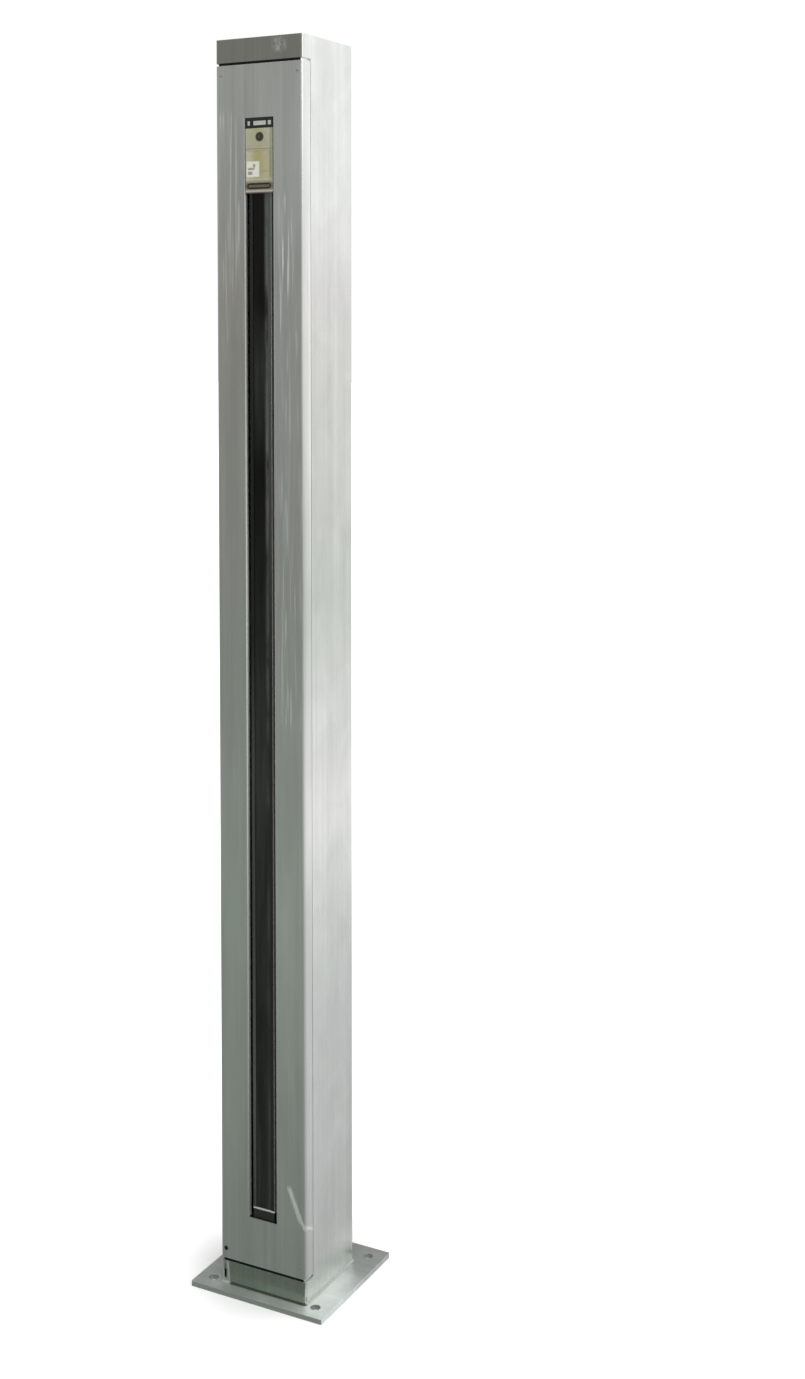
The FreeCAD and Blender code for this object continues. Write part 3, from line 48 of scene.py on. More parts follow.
def box_middle(node):
    low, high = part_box(node)
    return (low + high) / 2


# Places on the part: four lengths that its source has too, and the rest from its solids
HEAD_CLEARANCE = 0.4 * MM
LOWER_CAP_HIDDEN = 12 * MM
ANCHOR_INSET = 20 * MM
ANCHOR_HOLE_RADIUS = 6 * MM
COLUMN_LOW, COLUMN_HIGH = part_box("column_tube")
COVER_LOW, COVER_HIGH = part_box("front_cover")
HEAD_LOW, HEAD_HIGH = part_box("head_sleeve")
LABEL_LOW, LABEL_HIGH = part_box("label_plate")
PLATE_LOW, PLATE_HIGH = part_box("base_plate")
FACE_Y = COVER_LOW.y
SLOT_LOW_X = HEAD_LOW.x - HEAD_CLEARANCE
SLOT_HIGH_X = HEAD_HIGH.x + HEAD_CLEARANCE
SLOT_LOW_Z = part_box("lower_end_cap")[0].z + LOWER_CAP_HIDDEN
SLOT_HIGH_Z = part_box("upper_end_cap")[1].z + HEAD_CLEARANCE

# Corners that marks are set out from: the first coordinate runs across, the second is a height
FRONT_LEFT = (COVER_LOW.x, 0.0)
FRONT_RIGHT = (COVER_HIGH.x, 0.0)
SIDE_FRONT = (FACE_Y, 0.0)
COLUMN_FOOT_LEFT = (COLUMN_LOW.x, COLUMN_LOW.z)
COLUMN_TOP_RIGHT = (COLUMN_HIGH.x, COLUMN_HIGH.z)
LABEL_CORNER = (LABEL_LOW.x, LABEL_LOW.z)

# Most of a noise's values lie between these two
NOISE_LOW = 0.3
NOISE_HIGH = 0.7


class Shader:
    """Builds one node material, with its coordinates in the part's frame."""

    def __init__(self, name):
        self.material = bpy.data.materials.new(name)
        self.material.use_nodes = True
        self.tree = self.material.node_tree
        self.tree.nodes.clear()
        output = self.tree.nodes.new("ShaderNodeOutputMaterial")
        self.surface = self.tree.nodes.new("ShaderNodeBsdfPrincipled")
        self.tree.links.new(self.surface.outputs[0], output.inputs[0])
        coordinates = self.tree.nodes.new("ShaderNodeTexCoord")
        self.place = coordinates.outputs["Object"]
        self.normal = coordinates.outputs["Normal"]

    def link(self, source, target):
        """Joins an output to a socket, or sets the socket to a number, a vector or an opaque colour."""
        if isinstance(source, bpy.types.NodeSocket):
            self.tree.links.new(source, target)
        elif isinstance(source, tuple) and target.type == "RGBA":
            target.default_value = source + (1.0,)
        else:
            target.default_value = source

    def set(self, **values):
        """Sets the surface's sockets by name, with underscores for spaces."""
        for name, value in values.items():
            self.link(value, self.surface.inputs[name.replace("_", " ")])

    # Numbers

    def math(self, operation, first, second=0.0):
        node = self.tree.nodes.new("ShaderNodeMath")
        node.operation = operation
        self.link(first, node.inputs[0])
        self.link(second, node.inputs[1])
        return node.outputs[0]

    def times(self, first, second):
        return self.math("MULTIPLY", first, second)

    def most(self, *masks):
        """The largest of several masks."""
        largest = masks[0]
        for mask in masks[1:]:
            largest = self.math("MAXIMUM", largest, mask)
        return largest

    def spread(self, value, from_low, from_high, to_low=0.0, to_high=1.0, smooth=False):
        """Carries one range over to another, and holds its ends outside it."""
        node = self.tree.nodes.new("ShaderNodeMapRange")
        node.interpolation_type = "SMOOTHSTEP" if smooth else "LINEAR"
        self.link(value, node.inputs["Value"])
        node.inputs["From Min"].default_value = from_low
        node.inputs["From Max"].default_value = from_high
        node.inputs["To Min"].default_value = to_low
        node.inputs["To Max"].default_value = to_high
        return node.outputs["Result"]

    def rise(self, value, low, high):
        """A soft step from 0 up to 1."""
        return self.spread(value, low, high, 0.0, 1.0, True)

    def fall(self, value, low, high):
        """A soft step from 1 down to 0."""
        return self.spread(value, low, high, 1.0, 0.0, True)

    def vary(self, noise, low, high):
        """A number that follows a noise between two limits."""
        return self.spread(noise, NOISE_LOW, NOISE_HIGH, low, high)

    # Places

    def axis(self, name):
        node = self.tree.nodes.new("ShaderNodeSeparateXYZ")
        self.tree.links.new(self.place, node.inputs[0])
        return node.outputs[name]

    def from_corner(self, axes, corner):
        """The two coordinates of a plane, counted from one of its points."""
        first = self.math("SUBTRACT", self.axis(axes[0]), corner[0])
        second = self.math("SUBTRACT", self.axis(axes[1]), corner[1])
        return first, second

    def distance(self, axes, centre):
        """Distance from a point in a plane, in metres."""
        first, second = self.from_corner(axes, centre)
        squares = self.math("ADD", self.times(first, first), self.times(second, second))
        return self.math("SQRT", squares)

    def facing(self, axis_name, sign=1.0):
        """1 on faces that look along an axis, or against it."""
        node = self.tree.nodes.new("ShaderNodeSeparateXYZ")
        self.tree.links.new(self.normal, node.inputs[0])
        return self.math("GREATER_THAN", self.times(node.outputs[axis_name], sign), 0.7)

    def band(self, axis_name, low, high, soft):
        """1 between two coordinates along an axis, falling to 0 outside over a soft edge."""
        value = self.axis(axis_name)
        start = self.rise(value, low - soft, low + soft)
        return self.times(start, self.fall(value, high - soft, high + soft))

    def patch(self, corner, across, up, soft):
        """1 inside a rectangle of the front, in millimetres from a corner."""
        x, z = corner
        wide = self.band("X", x + across[0] * MM, x + across[1] * MM, soft * MM)
        high = self.band("Z", z + up[0] * MM, z + up[1] * MM, soft * MM)
        return self.times(wide, high)

    def line(self, axes, corner, start, end, half_width):
        """1 along a straight line with thinning ends, in millimetres from a corner."""
        run = ((end[0] - start[0]) * MM, (end[1] - start[1]) * MM)
        length = math.hypot(*run)
        along = (run[0] / length, run[1] / length)
        beginning = (corner[0] + start[0] * MM, corner[1] + start[1] * MM)
        first, second = self.from_corner(axes, beginning)
        forward = self.math("ADD", self.times(first, along[0]), self.times(second, along[1]))
        aside = self.math("SUBTRACT", self.times(first, along[1]), self.times(second, along[0]))
        near = self.fall(self.math("ABSOLUTE", aside), 0.2 * half_width * MM, half_width * MM)
        begun = self.rise(forward, 0.0, 0.15 * length)
        inside = self.times(begun, self.fall(forward, 0.85 * length, length))
        return self.times(near, inside)

    # Textures

    def noise(self, scale, detail=3.0, roughness=0.55, distortion=0.0):
        """Noise at a scale per metre: one number, or one for each axis."""
        stretch = self.tree.nodes.new("ShaderNodeMapping")
        stretch.inputs["Scale"].default_value = scale if isinstance(scale, tuple) else (scale,) * 3
        self.tree.links.new(self.place, stretch.inputs["Vector"])
        node = self.tree.nodes.new("ShaderNodeTexNoise")
        self.tree.links.new(stretch.outputs[0], node.inputs["Vector"])
        node.inputs["Scale"].default_value = 1.0
        node.inputs["Detail"].default_value = detail
        node.inputs["Roughness"].default_value = roughness
        node.inputs["Distortion"].default_value = distortion
        return node.outputs["Fac"]

    def table(self, axis_name, stops):
        """A colour that follows one coordinate, from (metres, colour) pairs in rising order."""
        first, last = stops[0][0], stops[-1][0]
        node = self.tree.nodes.new("ShaderNodeValToRGB")
        self.tree.links.new(self.spread(self.axis(axis_name), first, last), node.inputs[0])
        elements = node.color_ramp.elements
        for place, colour in stops[1:-1]:
            elements.new((place - first) / (last - first)).color = colour + (1.0,)
        elements[0].color = stops[0][1] + (1.0,)
        elements[len(stops) - 1].color = stops[-1][1] + (1.0,)
        return node.outputs["Color"]

    def mix(self, amount, first, second):
        """The first colour where the amount is 0, and the second where it is 1."""
        node = self.tree.nodes.new("ShaderNodeMix")
        node.data_type = "RGBA"
        self.link(amount, node.inputs["Factor"])
        self.link(first, node.inputs[6])
        self.link(second, node.inputs[7])
        return node.outputs[2]

    def tint(self, colour, factor):
        """A colour times a grey factor."""
        node = self.tree.nodes.new("ShaderNodeVectorMath")
        node.operation = "SCALE"
        self.link(colour, node.inputs[0])
        self.link(factor, node.inputs["Scale"])
        return node.outputs[0]

    # Surface

    def bump(self, height, strength, distance, edge_radius=0.0):
        """Roughens the surface, and rounds its edges if a radius is given."""
        node = self.tree.nodes.new("ShaderNodeBump")
        node.inputs["Strength"].default_value = strength
        node.inputs["Distance"].default_value = distance
        self.link(height, node.inputs["Height"])
        if edge_radius:
            bevel = self.tree.nodes.new("ShaderNodeBevel")
            bevel.samples = 4
            bevel.inputs["Radius"].default_value = edge_radius
            self.tree.links.new(bevel.outputs[0], node.inputs["Normal"])
        self.tree.links.new(node.outputs[0], self.surface.inputs["Normal"])

    def brush_level_faces_along_x(self):
        """Highlights stretch across upright faces, and along X on level ones."""
        around = self.tree.nodes.new("ShaderNodeTangent")
        around.direction_type = "RADIAL"
        around.axis = "Z"
        level = self.most(self.facing("Z"), self.facing("Z", -1.0))
        node = self.tree.nodes.new("ShaderNodeMix")
        node.data_type = "VECTOR"
        self.link(level, node.inputs["Factor"])
        self.link(around.outputs[0], node.inputs[4])
        node.inputs[5].default_value = (1.0, 0.0, 0.0)
        self.link(node.outputs[1], self.surface.inputs["Tangent"])

    def mottled(self, noise, colour, tones, roughness, bump, edge_radius=0.0):
        """One noise varies the tone, the roughness and the relief. Gives the finished material."""
        self.set(
            Base_Color=self.tint(colour, self.vary(noise, *tones)),
            Roughness=self.vary(noise, *roughness),
        )
        self.bump(noise, *bump, edge_radius)
        return self.material


# Colours with painted reflections, highlights and shade up the steel faces, the slot's lip, the window
# and the housing: height in metres, and the colour there
SIDE_PAINTED_REFLECTION_TONES = (
    (0.006, (0.56, 0.57, 0.55)), (0.014, (0.63, 0.65, 0.63)), (0.022, (0.57, 0.59, 0.57)),
    (0.050, (0.61, 0.63, 0.61)), (0.100, (0.63, 0.66, 0.64)), (0.190, (0.69, 0.72, 0.70)),
    (0.380, (0.72, 0.755, 0.735)), (0.475, (0.81, 0.84, 0.815)), (0.570, (0.98, 0.99, 0.965)),
    (0.620, (0.98, 0.98, 0.955)), (0.720, (0.82, 0.85, 0.81)), (0.850, (0.67, 0.71, 0.66)),
    (1.000, (0.70, 0.72, 0.68)), (1.200, (0.745, 0.74, 0.72)), (1.290, (0.83, 0.84, 0.82)),
    (1.506, (0.82, 0.85, 0.83)),
)
LEFT_FACE_PAINTED_REFLECTION_TONES = (
    (0.036, (0.54, 0.62, 0.55)), (0.180, (0.57, 0.65, 0.57)), (0.480, (0.60, 0.69, 0.60)),
    (0.850, (0.53, 0.565, 0.51)), (1.200, (0.54, 0.535, 0.49)), (1.430, (0.60, 0.63, 0.585)),
    (1.476, (0.60, 0.63, 0.585)),
)
RIGHT_FACE_PAINTED_REFLECTION_TONES = (
    (0.036, (0.54, 0.62, 0.55)), (0.180, (0.57, 0.65, 0.57)), (0.480, (0.68, 0.77, 0.68)),
    (0.850, (0.56, 0.60, 0.54)), (1.240, (0.60, 0.625, 0.58)), (1.290, (0.66, 0.69, 0.645)),
    (1.390, (0.66, 0.69, 0.645)), (1.476, (0.61, 0.645, 0.60)),
)
LIP_PAINTED_LIGHT_TONES = (
    (0.094, (0.13, 0.145, 0.13)), (0.350, (0.24, 0.265, 0.24)), (0.600, (0.40, 0.425, 0.39)),
    (0.870, (0.54, 0.56, 0.52)), (1.120, (0.38, 0.39, 0.37)), (1.320, (0.40, 0.41, 0.39)),
    (1.335, (0.14, 0.145, 0.13)), (1.415, (0.14, 0.145, 0.13)),
)
WINDOW_PAINTED_REFLECTION_TONES = (
    (0.10, (0.012, 0.014, 0.012)), (0.48, (0.010, 0.012, 0.010)), (0.61, (0.018, 0.020, 0.018)),
    (0.74, (0.014, 0.015, 0.013)), (0.87, (0.005, 0.006, 0.005)), (1.00, (0.002, 0.002, 0.0015)),
    (1.12, (0.015, 0.016, 0.014)), (1.20, (0.003, 0.003, 0.0025)), (1.35, (0.003, 0.003, 0.0025)),
)
HOUSING_LEFT_PAINTED_REFLECTION_TONES = (
    (0.10, (0.08, 0.087, 0.08)), (0.25, (0.13, 0.14, 0.13)), (0.45, (0.085, 0.092, 0.085)),
    (0.65, (0.085, 0.092, 0.085)), (0.80, (0.025, 0.028, 0.025)), (1.00, (0.025, 0.028, 0.025)),
    (1.42, (0.04, 0.045, 0.04)),
)
HOUSING_RIGHT_PAINTED_REFLECTION_TONES = (
    (0.10, (0.03, 0.032, 0.03)), (0.75, (0.03, 0.032, 0.03)), (1.00, (0.08, 0.085, 0.08)),
    (1.20, (0.11, 0.12, 0.11)), (1.42, (0.11, 0.12, 0.11)),
)

# Pale patches, and marks that the protective film left, in millimetres from a corner.
# Each patch: corner, reach across, reach up, soft edge
TOP_PALE_PATCH = (COLUMN_TOP_RIGHT, (-40, -23), (-18, -3), 4.0)
FOOT_PALE_TAB = (COLUMN_FOOT_LEFT, (0, 12), (2, 27), 1.0)
LABEL_FIELD = (LABEL_CORNER, (-0.1, 17.7), (4, 22), 1.0)
# Start and end of each line round the tab
FOOT_PALE_TAB_RIM = (((1.5, 30), (3.5, 0)), ((9.5, 28), (12.5, -1)), ((1.5, 3), (13.5, 2)))
FOOT_PALE_TAB_RIM_HALF_WIDTH = 1.3
# Each curl: a patch as above, and its strength
FILM_CURLS = (
    ((FRONT_RIGHT, (-36, -13), (1165, 1322), 6.0), 1.0),
    ((FRONT_RIGHT, (-31, -21), (990, 1092), 4.0), 1.0),
    ((FRONT_RIGHT, (-37, -3), (700, 1165), 8.0), 0.45),
    ((FRONT_LEFT, (2, 36), (1150, 1420), 8.0), 0.55),
)
# Each crease: plane, corner, start, end, half width
FILM_CREASES = (
    ("XZ", FRONT_RIGHT, (-24.2, 148), (-5, 101), 4.4),
    ("XZ", FRONT_RIGHT, (-18, 136), (0, 94), 2.6),
    ("YZ", SIDE_FRONT, (0, 101), (25, 88), 3.0),
)
# Each mark and rule of the label, from its corner: reach across, reach up, soft edge
LABEL_MARKS = (
    ((2.2, 11.2), (12.2, 14.6), 0.6), ((2.2, 8.2), (6.6, 10.4), 0.8), ((9.2, 12.2), (15.0, 19.0), 0.6)
)
LABEL_RULES = (((18.7, 34.2), (9.6, 10.6), 0.3), ((0.2, 34.2), (2.6, 3.2), 0.3))


# Materials


def grain(shader, along="z"):
    """Fine brushing lines that run along one axis, and their broad streaks."""
    long_scale, fine_scale, broad_scale = 5.0, 1500.0, 90.0
    fine = {"x": (long_scale, fine_scale, fine_scale), "z": (fine_scale, fine_scale, long_scale)}
    broad = {"x": (1.2, broad_scale, broad_scale), "z": (broad_scale, broad_scale, 1.2)}
    return shader.noise(fine[along], 4.0, 0.7), shader.noise(broad[along], 3.0, 0.6)


def steel_surface(shader, colour, roughness, along="z", edge=0.4 * MM, film=None, metallic=1.0):
    """Brushed stainless steel, with plastic film left on it where the film mask is 1."""
    film_metallic = 0.2
    fine, broad = grain(shader, along)
    lines = shader.spread(fine, 0.25, 0.75, 0.93, 1.07)
    shade = shader.times(lines, shader.vary(broad, 0.92, 1.06))
    shader.set(
        Base_Color=shader.tint(colour, shade),
        Metallic=metallic,
        Roughness=shader.vary(fine, roughness - 0.05, roughness + 0.06),
        Anisotropic=0.45,
    )
    if film is not None:
        shader.set(Metallic=shader.spread(film, 0.0, 1.0, metallic, film_metallic))
    shader.bump(fine, 0.12, 0.05 * MM, edge)
    shader.brush_level_faces_along_x()
    return shader.material


def column_front_colour(shader, film):
    """The closed bands above and below the cover, darkened with painted shade, with a pale blotchy patch
    above and a pale tab below.
    """
    shaded_top_band, shaded_bottom_band = (0.34, 0.345, 0.305), (0.30, 0.355, 0.295)
    patch_pale_grey, tab_grey, rim_grey = (0.66, 0.66, 0.64), (0.46, 0.51, 0.46), (0.55, 0.60, 0.55)
    low = shader.spread(shader.axis("Z"), COVER_LOW.z, COVER_HIGH.z, 1.0, 0.0)
    blots = shader.spread(shader.noise(260.0, 4.0, 0.7), 0.4, 0.62)
    # Painted shade: both bands darker than the cover
    colour = shader.mix(low, shaded_top_band, shaded_bottom_band)
    colour = shader.mix(shader.times(shader.patch(*TOP_PALE_PATCH), blots), colour, patch_pale_grey)
    colour = shader.mix(shader.patch(*FOOT_PALE_TAB), colour, tab_grey)
    return shader.mix(film, colour, rim_grey)


def column_side_colour(shader):
    """The sides and the back: cloudy, with painted reflections up their height, and a painted glow at
    the foot towards the rear, where the plate shines up.
    """
    # Painted glow of the plate's reflection at the foot
    foot = shader.times(
        shader.fall(shader.axis("Z"), 0.012, 0.075), shader.rise(shader.axis("Y"), -0.05, 0.045)
    )
    clouds = shader.noise((26.0, 26.0, 14.0), 3.0, 0.6, 0.6)
    colour = shader.tint(shader.table("Z", SIDE_PAINTED_REFLECTION_TONES), shader.spread(foot, 0.0, 1.0, 1.0, 1.5))
    return shader.tint(colour, shader.vary(clouds, 0.94, 1.06))


def column_steel(name):
    shader = Shader(name)
    front = shader.band("Y", FACE_Y - 1 * MM, FACE_Y + 1.2 * MM, 0.3 * MM)
    rims = [
        shader.line("XZ", COLUMN_FOOT_LEFT, start, end, FOOT_PALE_TAB_RIM_HALF_WIDTH)
        for start, end in FOOT_PALE_TAB_RIM
    ]
    # Paler, duller rims round the pale tab at the foot
    film = shader.times(shader.times(front, shader.most(*rims)), 0.5)
    colour = shader.mix(front, column_side_colour(shader), column_front_colour(shader, film))
    return steel_surface(shader, colour, 0.28, film=film)


def cover_side_colour(shader, depth):
    """The cover's flanges, with painted reflections up their height, a little paler high up with a
    painted highlight, and more so there along their rear edge.
    """
    # Painted highlight high up on the flanges, stronger along their rear edge
    pale = shader.spread(shader.band("Z", 0.95, 1.28, 0.10), 0.0, 1.0, 1.0, 1.12)
    rear_edge_highlight = shader.times(shader.band("Z", 0.85, 1.25, 0.08), shader.spread(depth, 11 * MM, 13 * MM))
    colour = shader.tint(shader.table("Z", SIDE_PAINTED_REFLECTION_TONES), pale)
    return shader.tint(colour, shader.spread(rear_edge_highlight, 0.0, 1.0, 1.0, 1.12))


def cover_lip(shader, depth):
    """Mask and colour of the slot's folded lips, with painted highlights and shade up their height, and
    painted shade darkening them as they run in.
    """
    rim = 2.4 * MM
    inside_shade_grey, inside_shade_dark = (0.24, 0.25, 0.24), (0.07, 0.075, 0.07)
    around_slot = shader.times(
        shader.band("X", SLOT_LOW_X - rim, SLOT_HIGH_X + rim, 0.1 * MM),
        shader.band("Z", SLOT_LOW_Z - rim, SLOT_HIGH_Z + rim, 0.1 * MM),
    )
    mask = shader.times(around_slot, shader.rise(depth, 0.05 * MM, 0.5 * MM))
    inner_shade = shader.mix(shader.spread(shader.axis("Z"), 0.88, 0.98), inside_shade_grey, inside_shade_dark)
    inward_shade = shader.spread(depth, 0.2 * MM, 4.5 * MM)
    return mask, shader.mix(inward_shade, shader.table("Z", LIP_PAINTED_LIGHT_TONES), inner_shade)


def cover_film(shader):
    """Mask of the pale streaks and creases of film on the cover."""
    fibres = shader.noise((420.0, 420.0, 9.0), 2.0, 0.5, 0.3)
    curls = shader.most(*[shader.times(shader.patch(*curl), strength) for curl, strength in FILM_CURLS])
    streaks = shader.times(curls, shader.spread(fibres, 0.52, 0.68, 0.0, 0.35, True))
    creases = shader.most(*[shader.line(*crease) for crease in FILM_CREASES])
    return shader.most(streaks, shader.times(creases, 0.28))


def cover_steel(name):
    shader = Shader(name)
    # The front's painted reflections, left and right of the slot
    left = shader.spread(shader.axis("X"), SLOT_HIGH_X, SLOT_LOW_X)
    face_painted_reflection = shader.mix(left, shader.table("Z", RIGHT_FACE_PAINTED_REFLECTION_TONES), shader.table("Z", LEFT_FACE_PAINTED_REFLECTION_TONES))
    depth = shader.math("SUBTRACT", shader.axis("Y"), FACE_Y)
    behind_face = shader.spread(depth, 0.02 * MM, 0.3 * MM)
    colour = shader.mix(behind_face, face_painted_reflection, cover_side_colour(shader, depth))
    blotch = shader.noise((30.0, 30.0, 6.0), 4.0, 0.6)
    colour = shader.tint(colour, shader.vary(blotch, 0.93, 1.07))
    # The lips' colour carries painted highlights and shade
    lip, lip_painted_light = cover_lip(shader, depth)
    colour = shader.mix(lip, colour, lip_painted_light)
    film = cover_film(shader)
    colour = shader.mix(film, colour, (0.75, 0.78, 0.76))
    dulled = shader.most(film, shader.times(lip, 0.9))
    return steel_surface(shader, colour, 0.32, edge=0.2 * MM, film=dulled)


def plate_steel(name):
    """Rolled plate with a cloudy finish, painted shade towards its back and its left, on its front edge
    and in its anchor holes, and painted light on its right-facing edges.
    """
    shader = Shader(name)
    grey, pale = (0.60, 0.65, 0.61), (0.78, 0.82, 0.79)
    front_edge_shade, hole_shade = (0.36, 0.42, 0.37), (0.40, 0.43, 0.41)
    colour = shader.mix(shader.vary(shader.noise(22.0, 4.0, 0.6, 0.4), 0.0, 1.0), grey, pale)
    # Painted shade towards the back and towards the left
    back = shader.spread(
        shader.axis("Y"), PLATE_LOW.y + 30 * MM, PLATE_HIGH.y - 25 * MM, 1.04, 0.62, True
    )
    left = shader.spread(
        shader.axis("X"), PLATE_LOW.x + 17 * MM, PLATE_HIGH.x - 27 * MM, 0.70, 1.0, True
    )
    colour = shader.tint(colour, shader.times(back, left))
    # Painted shade on the front edge, and painted light on the right-facing edges
    colour = shader.mix(shader.facing("Y", -1.0), colour, front_edge_shade)
    colour = shader.tint(colour, shader.spread(shader.facing("X"), 0.0, 1.0, 1.0, 1.15))
    # Painted shade in and around the anchor holes
    for x in (PLATE_LOW.x + ANCHOR_INSET, PLATE_HIGH.x - ANCHOR_INSET):
        for y in (PLATE_LOW.y + ANCHOR_INSET, PLATE_HIGH.y - ANCHOR_INSET):
            reach = shader.distance("XY", (x, y))
            near = shader.fall(reach, ANCHOR_HOLE_RADIUS, ANCHOR_HOLE_RADIUS + 0.6 * MM)
            colour = shader.mix(near, colour, hole_shade)
    return steel_surface(shader, colour, 0.38, "x", 0.8 * MM, metallic=0.7)


def weld_steel(name):
    """Ground weld at the column's foot, with a painted shadow line along most of the front."""
    shader = Shader(name)
    clean, dark = (0.46, 0.49, 0.46), (0.055, 0.065, 0.055)
    # Painted shadow line where the front meets the plate
    line_start = COLUMN_LOW.x + 12 * MM
    front = shader.times(
        shader.spread(shader.axis("Y"), FACE_Y + 0.5 * MM, FACE_Y + 2 * MM, 1.0, 0.0),
        shader.spread(shader.axis("X"), line_start, line_start + 3 * MM),
    )
    shader.set(Metallic=0.7)
    beads = shader.noise(500.0, 3.0, 0.6)
    colour = shader.mix(front, clean, dark)
    return shader.mottled(beads, colour, (0.85, 1.1), (0.5, 0.62), (0.3, 0.2 * MM))


def cover_screw_steel(name):
    """Stainless screws, and the lower left one dark."""
    shader = Shader(name)
    clean, dark = (0.58, 0.61, 0.57), (0.07, 0.07, 0.065)
    low = shader.spread(shader.axis("Z"), COVER_LOW.z + 50 * MM, COVER_HIGH.z - 50 * MM, 1.0, 0.0)
    left = shader.spread(shader.axis("X"), -10 * MM, 10 * MM, 1.0, 0.0)
    colour = shader.mix(shader.times(low, left), clean, dark)
    return steel_surface(shader, colour, 0.35, edge=0.1 * MM)


def plain_steel(colour, roughness, edge=0.4 * MM):
    return lambda name: steel_surface(Shader(name), colour, roughness, edge=edge)


def coated(colour, roughness, variation=0.06, metallic=0.0, specular=0.5):
    """Plastic, rubber or paint: one colour with slight mottling, a fine grain and soft edges."""

    def build(name):
        shader = Shader(name)
        mottle = shader.noise(120.0, 4.0, 0.6)
        skin = shader.noise(2500.0, 2.0, 0.5)
        shader.set(
            Base_Color=shader.tint(colour, shader.vary(mottle, 1 - variation, 1 + variation)),
            Metallic=metallic,
            Roughness=shader.vary(mottle, roughness - 0.04, roughness + 0.05),
            Specular_IOR_Level=specular,
        )
        shader.bump(skin, 0.1, 0.03 * MM, 0.2 * MM)
        return shader.material

    return build


def housing_aluminium(name):
    """Extrusion with a different painted reflection on each side of the window, and a painted highlight
    on its pale outer right side.
    """
    shader = Shader(name)
    right_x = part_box("curtain_housing")[1].x
    lines, streaks = grain(shader)
    right = shader.spread(shader.axis("X"), -5 * MM, 5 * MM)
    left_painted_reflection = shader.table("Z", HOUSING_LEFT_PAINTED_REFLECTION_TONES)
    right_painted_reflection = shader.table("Z", HOUSING_RIGHT_PAINTED_REFLECTION_TONES)
    outermost = shader.spread(shader.axis("X"), right_x - 1.0 * MM, right_x - 0.5 * MM)
    outer_side_highlight = shader.times(outermost, shader.facing("X"))
    colour = shader.mix(right, left_painted_reflection, right_painted_reflection)
    colour = shader.mix(outer_side_highlight, colour, (0.60, 0.63, 0.59))
    shader.set(
        Base_Color=shader.tint(colour, shader.vary(lines, 0.85, 1.15)), Metallic=0.85,
        Roughness=shader.vary(streaks, 0.34, 0.44),
    )
    shader.bump(lines, 0.1, 0.03 * MM, 0.5 * MM)
    return shader.material


def window_plastic(name):
    """Dark polished window with painted reflections up its height, paler in patches along its right-hand
    side, and more so towards its top.
    """
    shader = Shader(name)
    right_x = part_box("front_window")[1].x
    edge = shader.rise(shader.axis("X"), right_x - 8 * MM, right_x - 3 * MM)
    upward = shader.spread(shader.axis("Z"), 0.4, 1.25, 0.15, 1.0)
    patches = shader.rise(shader.noise((35.0, 35.0, 9.0), 3.0, 0.6, 0.3), 0.35, 0.6)
    right_paling = shader.times(shader.times(edge, upward), patches)
    colour = shader.mix(right_paling, shader.table("Z", WINDOW_PAINTED_REFLECTION_TONES), (0.075, 0.080, 0.070))
    shader.set(IOR=1.5, Specular_IOR_Level=0.15)
    cloud = shader.noise((90.0, 90.0, 7.0), 4.0, 0.65, 0.5)
    return shader.mottled(cloud, colour, (0.6, 1.4), (0.10, 0.20), (0.03, 0.05 * MM))


def lens_plastic(name):
    shader = Shader(name)
    cloud = shader.noise(200.0, 2.0, 0.5)
    shader.set(
        Base_Color=shader.mix(cloud, (0.80, 0.85, 0.88), (0.88, 0.91, 0.93)),
        Roughness=shader.vary(cloud, 0.05, 0.12), IOR=1.49, Transmission_Weight=0.7,
    )
    shader.bump(cloud, 0.05, 0.02 * MM)
    return shader.material


def head_plastic(name):
    """Cream moulding that turns greener towards its top, its middle and its right side, with painted
    shade around the status lens and the badge.
    """
    shader = Shader(name)
    foot_cream, top_cream = (0.24, 0.215, 0.155), (0.275, 0.275, 0.195)
    middle_olive, right_olive, shadow = (0.23, 0.225, 0.115), (0.19, 0.20, 0.14), (0.05, 0.045, 0.03)
    height = shader.spread(shader.axis("Z"), HEAD_LOW.z + 8 * MM, HEAD_HIGH.z)
    right = shader.rise(shader.axis("X"), HEAD_HIGH.x - 5 * MM, HEAD_HIGH.x - 2.5 * MM)
    middle = shader.band("X", -8 * MM, 8 * MM, 8 * MM)
    lens = box_middle("status_lens")
    badge = box_middle("badge_rim")
    lens_shade = shader.fall(shader.distance("XZ", (lens.x, lens.z)), 5.0 * MM, 6.2 * MM)
    badge_shade = shader.line("XZ", (badge.x, badge.z), (-22, 0), (22, 0), 6.5)
    colour = shader.mix(height, foot_cream, top_cream)
    colour = shader.mix(right, colour, right_olive)
    colour = shader.mix(shader.times(middle, 0.5), colour, middle_olive)
    # Painted shade around the status lens and the badge
    colour = shader.mix(shader.most(lens_shade, badge_shade), colour, shadow)
    mottle = shader.noise(160.0, 4.0, 0.6)
    return shader.mottled(mottle, colour, (0.94, 1.06), (0.38, 0.48), (0.08, 0.05 * MM), 0.3 * MM)


